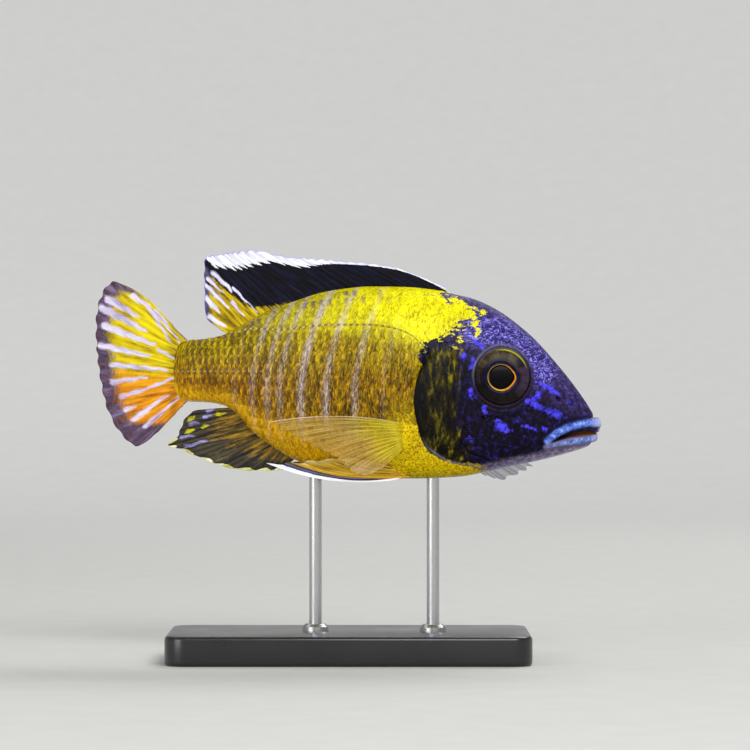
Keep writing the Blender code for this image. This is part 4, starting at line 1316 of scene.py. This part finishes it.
def fin_film(
    name, ground, second, third, pale, border, line, ray_tint, ray_share,
    clear=False, bite=0.6, rough=0.48, gloss=0.2,
):
    """Fin skin: streaked ground colours, laid over by the painted fields of each fin."""
    look, add, shader = new_material(name, Roughness=rough, IOR=1.36, Specular_IOR_Level=gloss)
    span = add("Attribute", out=1, attribute_name="span")
    second_mask, pale_mask, border_mask = three_of(add, "paint")
    third_mask, line_mask, film = three_of(add, "trim")
    ridge = add("Attribute", out=2, attribute_name="ridge")
    streak = grain_of(add, span, (2.3, 0.13, 1.0), 4.0, 0.65)
    fine = add("TexNoise", span, None, 1.6, 4.0, 0.7)
    coarse = add("MapRange", streak, 0.3, 0.7, -0.35, 0.35)
    fray = add("Math ADD", coarse, add("MapRange", fine, 0.3, 0.7, -0.25, 0.25))

    def laid(mask, under, stops, low, high, bite=1.0):
        """Lays streaked colours over others, with a torn edge."""
        bitten = add("Math MULTIPLY", fray, add("MapRange", mask, 0.0, 0.3, 0.0, bite))
        ragged = add("Math ADD", mask, bitten)
        return lay_over(add, ragged, low, high, under, add("ValToRGB", streak, stops=stops))

    colour = add("ValToRGB", streak, stops=ground)
    colour = laid(second_mask, colour, second, 0.2, 0.8)
    colour = laid(third_mask, colour, third, 0.2, 0.8)
    colour = add("MixRGB", add("Math MULTIPLY", ridge, ray_share), colour, ray_tint)
    colour = laid(pale_mask, colour, pale, 0.15, 0.85, bite)
    colour = laid(border_mask, colour, border, 0.4, 0.6)
    colour = add("MixRGB", line_mask, colour, line)
    feed(
        shader,
        Base_Color=colour,
        Normal=add("Bump", 0.3, 0.0003, None, fine),
        Roughness=add("MapRange", fine, 0.3, 0.7, 0.4, 0.58),
    )
    if clear:
        feed(shader, Alpha=film)
    return look


spines, soft = DORSAL_COUNT
ray, part = ray_grid(spines + soft, 8, 46)
base = np.interp(ray[:, 0], [0, spines - 1, spines + soft - 1], [24.1, -12.0, -28.4])
base_u, tip_u, tip_z = (v[:, None] for v in rows_at(DORSAL_RAYS, place_of(DORSAL_RAYS, base)))
spiny = smoothly(spines + 0.5, spines - 1.0, ray)
behind = ray - np.floor(ray)
reach = 1 - spiny * (0.06 * behind) - (1 - spiny) * 0.02 * np.sin(np.pi * behind) ** 2
root = (base_u, back(base_u) - FIN_SUNK)
u, z, length = drawn_out(root, (tip_u, tip_z), part * reach)
ripple = 0.22 * part**2 * np.sin(ray * 1.15)
ridge = ridge_of(ray, part, np.where(ray > spines - 0.5, 0.3, 9.0))
to_edge = (1 - part) * length
white = 1.3 + 3.6 * smoothly(14.0, -8.0, base_u) - 1.6 * smoothly(-16.0, -21.0, base_u)
white = white * (1.25 - 0.5 * behind)
edge_mask = smoothly(white + 0.3, white - 0.3, to_edge) * smoothly(-21.6, -20.4, base_u)
fringe = smoothly(0.4, 0.15, to_edge) * 0.7
yellow = smoothly(0.8, -0.8, inside(u, z, DORSAL_YELLOW)) * smoothly(-36.0, -31.0, u)
yellow = yellow * (0.1 + 0.9 * smoothly(-9.0, -25.0, u))
streaks = wavering(u, z, DORSAL_STREAKS)
orange = smoothly(2.4, 0.8, to_edge) * smoothly(-31, -34, u) * smoothly(95, 92, z) * 0.8
# Black fin skin under slime: opaque and dull, with a painted sheen of faint navy and olive streaks along its
# rays.
dorsal_look = fin_film(
    "fin_skin_black",
    ground="0.35 #040305  0.5 #09080E  0.6 #10112E  0.68 #171C0C",
    second="0.35 #6A5206  0.5 #B09404  0.65 #DCC410",
    third="0.35 #241A30  0.6 #5A4A68",
    pale="0.35 #A8A4CE  0.5 #D0CCE4  0.65 #E4E2F0",
    border="0.35 #B4B4CC  0.48 #D8D8E2  0.6 #EAEAEE",
    line="#6A66D8", ray_tint="#201C30", ray_share=0.25, gloss=0.12,
)
dorsal = fin_plate(
    "fin_dorsal", (u, ripple, z), dorsal_look, ray, part, length, ridge,
    paint=(yellow, streaks, edge_mask), trim=(orange, fringe, 1.0),
)
finish_piece(dorsal, "fin_dark", "dorsal_fin")

# Fins: tail.
# A fan of nineteen rays in thin skin, rooted in the tail stalk. Yellow above and orange
# below, crossed by pale lavender streaks between the rays, its rear edge a dusky mauve.

# Some of the rays from top to bottom: z of the root, u and z of the tip.
CAUDAL_RAYS = [
    (76.0, -44.3, 81.4), (75.4, -50.4, 87.4), (74.6, -57.4, 90.7), (73.4, -60.4, 87.3),
    (72.0, -61.7, 81.7), (70.2, -61.9, 75.8), (68.4, -61.6, 71.1), (66.6, -60.6, 65.5),
    (65.0, -59.0, 60.0), (63.8, -55.6, 53.9), (62.9, -51.6, 50.6), (62.2, -47.4, 53.4),
    (61.8, -43.3, 57.8),
]
CAUDAL_COUNT = 19
CAUDAL_ROOT_U = -38.8
CAUDAL_STREAKS = [
    ((-52.6, 87.1), (-48.0, 84.1), 0.5), ((-58.4, 86.4), (-51.0, 81.9), 0.8),
    ((-60.0, 84.2), (-49.1, 78.5), 0.8), ((-59.5, 79.8), (-47.0, 75.2), 0.75),
    ((-60.5, 75.0), (-48.2, 72.5), 0.7), ((-57.8, 70.4), (-44.0, 69.1), 0.6),
    ((-48.8, 84.7), (-43.0, 75.8), 0.45), ((-46.8, 83.3), (-40.8, 75.8), 0.4),
    ((-46.0, 74.0), (-41.7, 71.7), 0.4), ((-57.9, 66.1), (-48.9, 67.4), 0.6),
    ((-55.6, 62.5), (-47.0, 65.2), 0.55), ((-46.4, 65.6), (-41.7, 67.3), 0.4),
    ((-54.2, 59.3), (-51.6, 60.7), 0.5), ((-52.2, 57.2), (-43.7, 63.1), 0.6),
    ((-49.2, 55.4), (-40.1, 63.4), 0.5),
]

ray, part = ray_grid(CAUDAL_COUNT, 9, 56)
place_on = ray[:, 0] / (CAUDAL_COUNT - 1) * (len(CAUDAL_RAYS) - 1)
base_z, tip_u, tip_z = (v[:, None] for v in rows_at(CAUDAL_RAYS, place_on))
u, z, length = drawn_out((CAUDAL_ROOT_U, base_z), (tip_u, tip_z), part * notched(ray, 0.018))
ripple = 0.35 * part**2 * np.sin(ray * 0.8 + 0.6)
ridge = ridge_of(ray, part, 0.28)
to_edge = (1 - part) * length
orange = smoothly(74.5, 62.0, z + 0.12 * (u + 50))
streaks = wavering(u, z, CAUDAL_STREAKS) * (1 - 0.22 * orange)
rear = smoothly(6.5, 1.2, to_edge) * smoothly(0.6, 3.0, ray) * smoothly(18.0, 16.0, ray)
rear = np.maximum(rear, smoothly(57.5, 55.0, z))
top_edge = smoothly(0.9, 0.3, ray) + smoothly(17.4, 17.8, ray)
dark_root = 0.75 * np.exp(-(((u + 42.2) / 1.4) ** 2)) * np.sin(ray * np.pi) ** 2
# Yellow fin skin under slime: warm and cloudy, deeper in tone along the rays.
caudal_look = fin_film(
    "fin_skin_yellow",
    ground="0.32 #8A6E0C  0.45 #CAB204  0.62 #E6D408",
    second="0.32 #7A3E08  0.45 #CC7C08  0.62 #E8A008",
    third="0.35 #30263A  0.5 #50405A  0.65 #7A6888",
    pale="0.35 #A096BC  0.5 #C6BCD8  0.65 #E2DCEC",
    border="0.35 #6A6298  0.6 #968EC4",
    line="#5A3410", ray_tint="#6A4410", ray_share=0.4,
)
caudal = fin_plate(
    "fin_caudal", (u, ripple, z), caudal_look, ray, part, length, ridge,
    paint=(orange, streaks, top_edge), trim=(rear, dark_root, 1.0),
)
finish_piece(caudal, "fin_yellow", "caudal_fin")

# Fins: anal.
# Three spines and nine soft rays in thin skin, folded back under the tail stalk. Olive
# black, with yellow spots and lavender streaks near its rear, and a pale scalloped edge.

# Some of the rays from front to rear: u of the root, u and z of the tip.
ANAL_RAYS = [
    (-12.6, -16.0, 45.2), (-15.2, -20.1, 44.9), (-17.0, -24.8, 45.0), (-18.9, -30.5, 46.0),
    (-20.9, -35.3, 47.6), (-22.9, -40.8, 49.9), (-24.3, -44.2, 50.7), (-25.6, -41.2, 53.6),
    (-26.6, -40.0, 56.6), (-27.3, -37.4, 59.2), (-27.9, -33.0, 59.7),
]
ANAL_COUNT = 12
ANAL_SPOTS = [
    ((-38.3, 57.4), (-37.1, 57.9), 0.6), ((-38.8, 54.3), (-37.4, 54.8), 0.6),
    ((-35.0, 55.5), (-34.0, 55.7), 0.5), ((-31.5, 58.4), (-29.5, 58.8), 0.5),
]
ANAL_STREAKS = [
    ((-34.0, 59.3), (-32.1, 59.8), 0.5), ((-34.5, 57.9), (-33.1, 58.1), 0.5),
    ((-37.9, 56.0), (-36.2, 56.4), 0.5), ((-39.3, 50.7), (-34.3, 52.1), 0.45),
    ((-40.5, 53.0), (-37.0, 53.2), 0.4),
]

ray, part = ray_grid(ANAL_COUNT, 9, 42)
place_on = ray[:, 0] / (ANAL_COUNT - 1) * (len(ANAL_RAYS) - 1)
base_u, tip_u, tip_z = (v[:, None] for v in rows_at(ANAL_RAYS, place_on))
root = (base_u, belly(base_u) + FIN_SUNK)
u, z, length = drawn_out(root, (tip_u, tip_z), part * notched(ray, 0.03))
ripple = 0.25 * part**2 * np.sin(ray * 1.3)
ridge = ridge_of(ray, part, np.where(ray > 2.5, 0.35, 9.0))
lower = reach_to(u, z, np.hstack([tip_u, tip_z])[:70:6].tolist())
scallop = 0.38 + 0.3 * np.sin(2 * np.pi * ray)
edge_mask = smoothly(scallop + 0.35, scallop - 0.1, lower)
spots = 0.75 * wavering(u, z, ANAL_SPOTS)
streaks = 0.6 * wavering(u, z, ANAL_STREAKS)
olive = smoothly(0.75, 0.15, part) * 0.8
# Olive fin skin under slime: smoky and dull, with small bright marks on it.
anal_look = fin_film(
    "fin_skin_olive",
    ground="0.35 #0B0A0F  0.5 #221F20  0.62 #3D3826  0.7 #6A6248",
    second="0.35 #241A08  0.5 #5E480E  0.65 #A87F1A",
    third="0.35 #8C8A0C  0.6 #CCC414",
    pale="0.35 #6E66A0  0.6 #A8A0DC",
    border="0.35 #9E9818  0.5 #C8C878  0.62 #ECECDC",
    line="#8078C0", ray_tint="#8A7A50", ray_share=0.28, bite=1.0,
)
anal = fin_plate(
    "fin_anal", (u, ripple, z), anal_look, ray, part, length, ridge,
    paint=(olive, streaks, edge_mask), trim=(spots, 0.0, 1.0),
)
finish_piece(anal, "fin_dark", "anal_fin")

# Fins: pelvic.
# One spine and five long soft rays in thin skin on each side, folded back along the belly.
# The front edge is bright white with a black line behind it, the rest yellow.

PELVIC_ROOT = ((14.4, 43.7), (10.6, 45.9))
PELVIC_TIPS = [(-18.8, 46.9), (-12.5, 47.2), (-6.5, 47.8), (0.0, 48.3), (6.0, 47.5)]
PELVIC_SAG = 2.6
PELVIC_CLEAR = 1.0
PELVIC_COUNT = 6

# White-edged fin skin under slime: the edge is bright as porcelain, the rest warm and even.
pelvic_look = fin_film(
    "fin_skin_white_edge",
    ground="0.35 #7A5A10  0.5 #C8980C  0.65 #E6C030",
    second="0.35 #08070C  0.5 #16143A  0.65 #4A44A0",
    third="0.35 #A08838  0.6 #D0BC78",
    pale="0.35 #C8C8DC  0.6 #F4F4FA",
    border="0.35 #D2D2E2  0.5 #F0F0F8  0.62 #FFFFFF",
    line="#5A54C0", ray_tint="#E8D8A0", ray_share=0.3,
)
ray, part = ray_grid(PELVIC_COUNT, 12, 62)
share = ray / (PELVIC_COUNT - 1)
tip_u, tip_z = rows_at(PELVIC_TIPS, share * (len(PELVIC_TIPS) - 1))
root_u, root_z, _ = drawn_out(*PELVIC_ROOT, share)
go = part * notched(ray, 0.04)
ridge = ridge_of(ray, part, np.where(ray > 0.5, 0.35, 9.0))
edge_mask = smoothly(0.62, 0.4, ray) * smoothly(0.0, 0.12, part)
black = smoothly(0.4, 0.6, ray) * smoothly(1.4, 1.0, ray) * smoothly(0.05, 0.3, part)
tips = smoothly(0.85, 1.0, part) * smoothly(1.0, 1.6, ray) * 0.6
for side, sign in (("right", -1.0), ("left", 1.0)):
    u, z, length = drawn_out((root_u, root_z), (tip_u, tip_z), go)
    z = z - PELVIC_SAG * (1 - share) * 4 * go * (1 - go)
    level = np.maximum(z, belly(u) + 1.0)
    out = np.abs(flank(u, angle_of(u, level))[..., 1]) - 0.5
    out = out + (PELVIC_CLEAR + 0.5) * smoothly(0.0, 0.16, part)
    pelvic = fin_plate(
        "fin_pelvic_" + side, (u, sign * out, z), pelvic_look, ray, part, length, ridge,
        paint=(black, 0.0, edge_mask), trim=(tips, 0.0, 1.0),
    )
    finish_piece(pelvic, "fin_clear", "pelvic_fin_" + side)

# Fins: pectoral.
# Fifteen fine forked rays in clear skin. The right fin lies back along the flank, yellow at
# the root and nearly clear at the edge; the left one, swept forward and down, is the same film painted grey
# as shade.

PECTORAL_ROOT = ((13.8, 56.4), (13.0, 50.6))
# From top to bottom: how far the right fin's rays droop and the left one's are swept down,
# in degrees, and their length.
PECTORAL_RAYS = [
    (-1.0, 19.0, 29.6), (0.6, 23.0, 27.1), (5.3, 29.0, 23.3), (10.2, 29.0, 19.7),
    (16.1, 27.0, 16.5), (23.8, 25.0, 14.6), (33.4, 24.0, 13.2), (40.3, 24.0, 11.1),
    (45.0, 24.0, 6.6),
]
PECTORAL_ARCH = 1.6
PECTORAL_COUNT = 15
PECTORAL_FLARE, PECTORAL_FAR = 0.06, 1.2
PECTORAL_OUT = math.radians(22)

ray, part = ray_grid(PECTORAL_COUNT, 8, 54)
share = ray / (PECTORAL_COUNT - 1)
droop, sweep_down, length = rows_at(PECTORAL_RAYS, share * (len(PECTORAL_RAYS) - 1))
droop, sweep_down = np.radians(droop), np.radians(sweep_down)
root_u, root_z, _ = drawn_out(*PECTORAL_ROOT, share)
root_n = np.abs(flank(root_u, angle_of(root_u, root_z))[..., 1]) + 0.85
go = part * notched(ray, 0.03)
sunk = 1.5 * smoothly(0.1, 0.0, part)
arch = PECTORAL_ARCH * (1 - share) * 4 * go * (1 - go)
ridge = ridge_of(ray, part, 0.25)
base = smoothly(0.62 + 0.3 * share, 0.12 + 0.2 * share, part) * 0.95
pink = smoothly(0.45, 0.9, share) * smoothly(0.6, 0.9, part) * 0.6
leading = smoothly(0.5, 0.2, ray) * 0.6
film = 0.26 + 0.5 * np.maximum(smoothly(0.26, 0.04, part), ridge * 0.85)
film = np.clip(np.maximum(film, leading * 0.7), 0, 1) * smoothly(0.0, 0.12, part)
forward = PECTORAL_FAR * math.cos(PECTORAL_OUT)
poses = {
    "right": (-np.cos(droop), PECTORAL_FLARE, -np.sin(droop)),
    "left": (
        forward * np.cos(sweep_down), PECTORAL_FAR * math.sin(PECTORAL_OUT), -forward * np.sin(sweep_down)
    ),
}
# Clear fin skin under slime: a thin film that the flank shows through, its rays denser.
clear_look = fin_film(
    "fin_skin_clear",
    ground="0.32 #8E6C1C  0.5 #B08E34  0.66 #C8AC5C",
    second="0.32 #B49A04  0.5 #D2BE04  0.66 #E6D808",
    third="0.35 #B08C4C  0.6 #D8BC94",
    pale="0.35 #C0A890  0.6 #E8DCCC",
    border="0.35 #C8AC90  0.6 #EAD8C4",
    line="#FFFFFF", ray_tint="#D8C090", ray_share=0.5, clear=True, rough=0.45, gloss=0.3,
)
# The clear film with painted shade, for the left fin below the throat: a smoky lilac grey, thin at the edge.
shaded_film_look = fin_film(
    "fin_skin_clear_painted_shade",
    ground="0.32 #2E2A44  0.5 #5A5478  0.66 #8C86AC",
    second="0.32 #4A4258  0.5 #6A6284  0.66 #8C84A4",
    third="0.35 #6A6688  0.6 #A49EC0",
    pale="0.35 #7A7698  0.6 #A49EC0",
    border="0.35 #8A86A8  0.6 #B4AED0",
    line="#FFFFFF", ray_tint="#B0AAD0", ray_share=0.5, clear=True, rough=0.45, gloss=0.3,
)
for side, sign, look in (("right", -1.0, clear_look), ("left", 1.0, shaded_film_look)):
    along_u, along_n, along_z = (length * go * way for way in poses[side])
    points = (root_u + along_u, sign * (root_n + along_n - sunk), root_z + along_z + arch)
    pectoral = fin_plate(
        "fin_pectoral_" + side, points, look, ray, part, length, ridge,
        paint=(base, 0.0, leading), trim=(pink, 0.0, film), thin=0.8,
    )
    finish_piece(pectoral, "fin_clear", "pectoral_fin_" + side)

# Studio.
# A round pale paper sweep that rises all round, past where any view stands, its wall glowing
# softly as painted light, as if lit from behind; one large soft key light in front, a fill, a rim and a top
# light.

FLAT, BEND, BEND_END, SWEEP_TURNS = 1.0, 1.2, 0.9, 96

# Matt paper: no shine, a faint mottle of its fibre, drawn coarse so that it shows, and a wall
# that glows a little more the farther out it stands: painted light, as if lit from behind.
sweep_look, add, shader = new_material(
    "paper_matte", Base_Color="#DCDCD8", Roughness=0.8, Emission_Color="#E8E8E6"
)
fibre = add("TexNoise", add("TexCoord", out=3), None, 90.0, 4.0)
out_from_middle = add("VectorMath LENGTH", add("TexCoord", out=3), out=1)
glow = add("MapRange", out_from_middle, 0.35, 1.5, 0.0, 0.42, interpolation_type="SMOOTHSTEP")
feed(shader, Base_Color=add("MixRGB", fibre, "#BEBEBA", "#C8C8C4"), Emission_Strength=glow)

outline = [(r, 0.0) for r in (0.25, 0.5, 0.75, FLAT)]
outline += [(FLAT + BEND * math.sin(a), BEND - BEND * math.cos(a)) for a in np.linspace(0.04, BEND_END, 24)]
turns = np.arange(SWEEP_TURNS) * 2 * np.pi / SWEEP_TURNS
points = [(0.0, 0.0, 0.0)] + [(r * math.cos(a), r * math.sin(a), z) for r, z in outline for a in turns]
ring = np.arange(SWEEP_TURNS)
after = (ring + 1) % SWEEP_TURNS
faces = [(0, 1 + k, 1 + m) for k, m in zip(ring, after)]
for row in range(len(outline) - 1):
    inner, outer = 1 + row * SWEEP_TURNS, 1 + (row + 1) * SWEEP_TURNS
    faces += [(inner + k, outer + k, outer + m, inner + m) for k, m in zip(ring, after)]
sweep = piece_from("sweep", points, faces, sweep_look)

FISH_MIDDLE = (0.0, 0.0, 0.068)


def softbox(name, place, size, power):
    """An area light that faces the middle of the fish."""
    data = bpy.data.lights.new(name, "AREA")
    data.shape = "RECTANGLE"
    data.size, data.size_y = size
    data.energy = power
    made = new_object(name, data)
    made.location = place
    towards = Vector([FISH_MIDDLE[k] - place[k] for k in range(3)])
    made.rotation_euler = towards.to_track_quat("-Z", "Y").to_euler()


softbox("light_key", place=(0.3, -0.95, 0.7), size=(0.7, 0.5), power=11.0)
softbox("light_fill", place=(-0.75, -0.8, 0.3), size=(0.6, 0.6), power=5.0)
softbox("light_rim", place=(0.3, 0.6, 0.75), size=(0.6, 0.3), power=4.0)
softbox("light_backdrop", place=(0.0, 0.55, 1.5), size=(2.4, 0.5), power=5.0)
world = bpy.data.worlds.new("studio")
world.use_nodes = True
background = world.node_tree.nodes["Background"]
background.inputs["Color"].default_value = linear("#F4F6FA")
background.inputs["Strength"].default_value = 0.28
bpy.context.scene.world = world
bpy.context.scene.view_settings.view_transform = "Standard"

VIEW_MIDDLE = (6.2 * MM, 67.9 * MM)
VIEW_WIDTH = 178.6 * MM
VIEW_DISTANCE = 0.95
SENSOR = 36.0
camera_data = bpy.data.cameras.new("camera")
camera_data.sensor_width = SENSOR
camera_data.lens = SENSOR * VIEW_DISTANCE / VIEW_WIDTH
camera = new_object("camera", camera_data)
camera.location = (VIEW_MIDDLE[0], -VIEW_DISTANCE, VIEW_MIDDLE[1])
camera.rotation_euler = (math.pi / 2, 0.0, 0.0)
bpy.context.scene.camera = camera
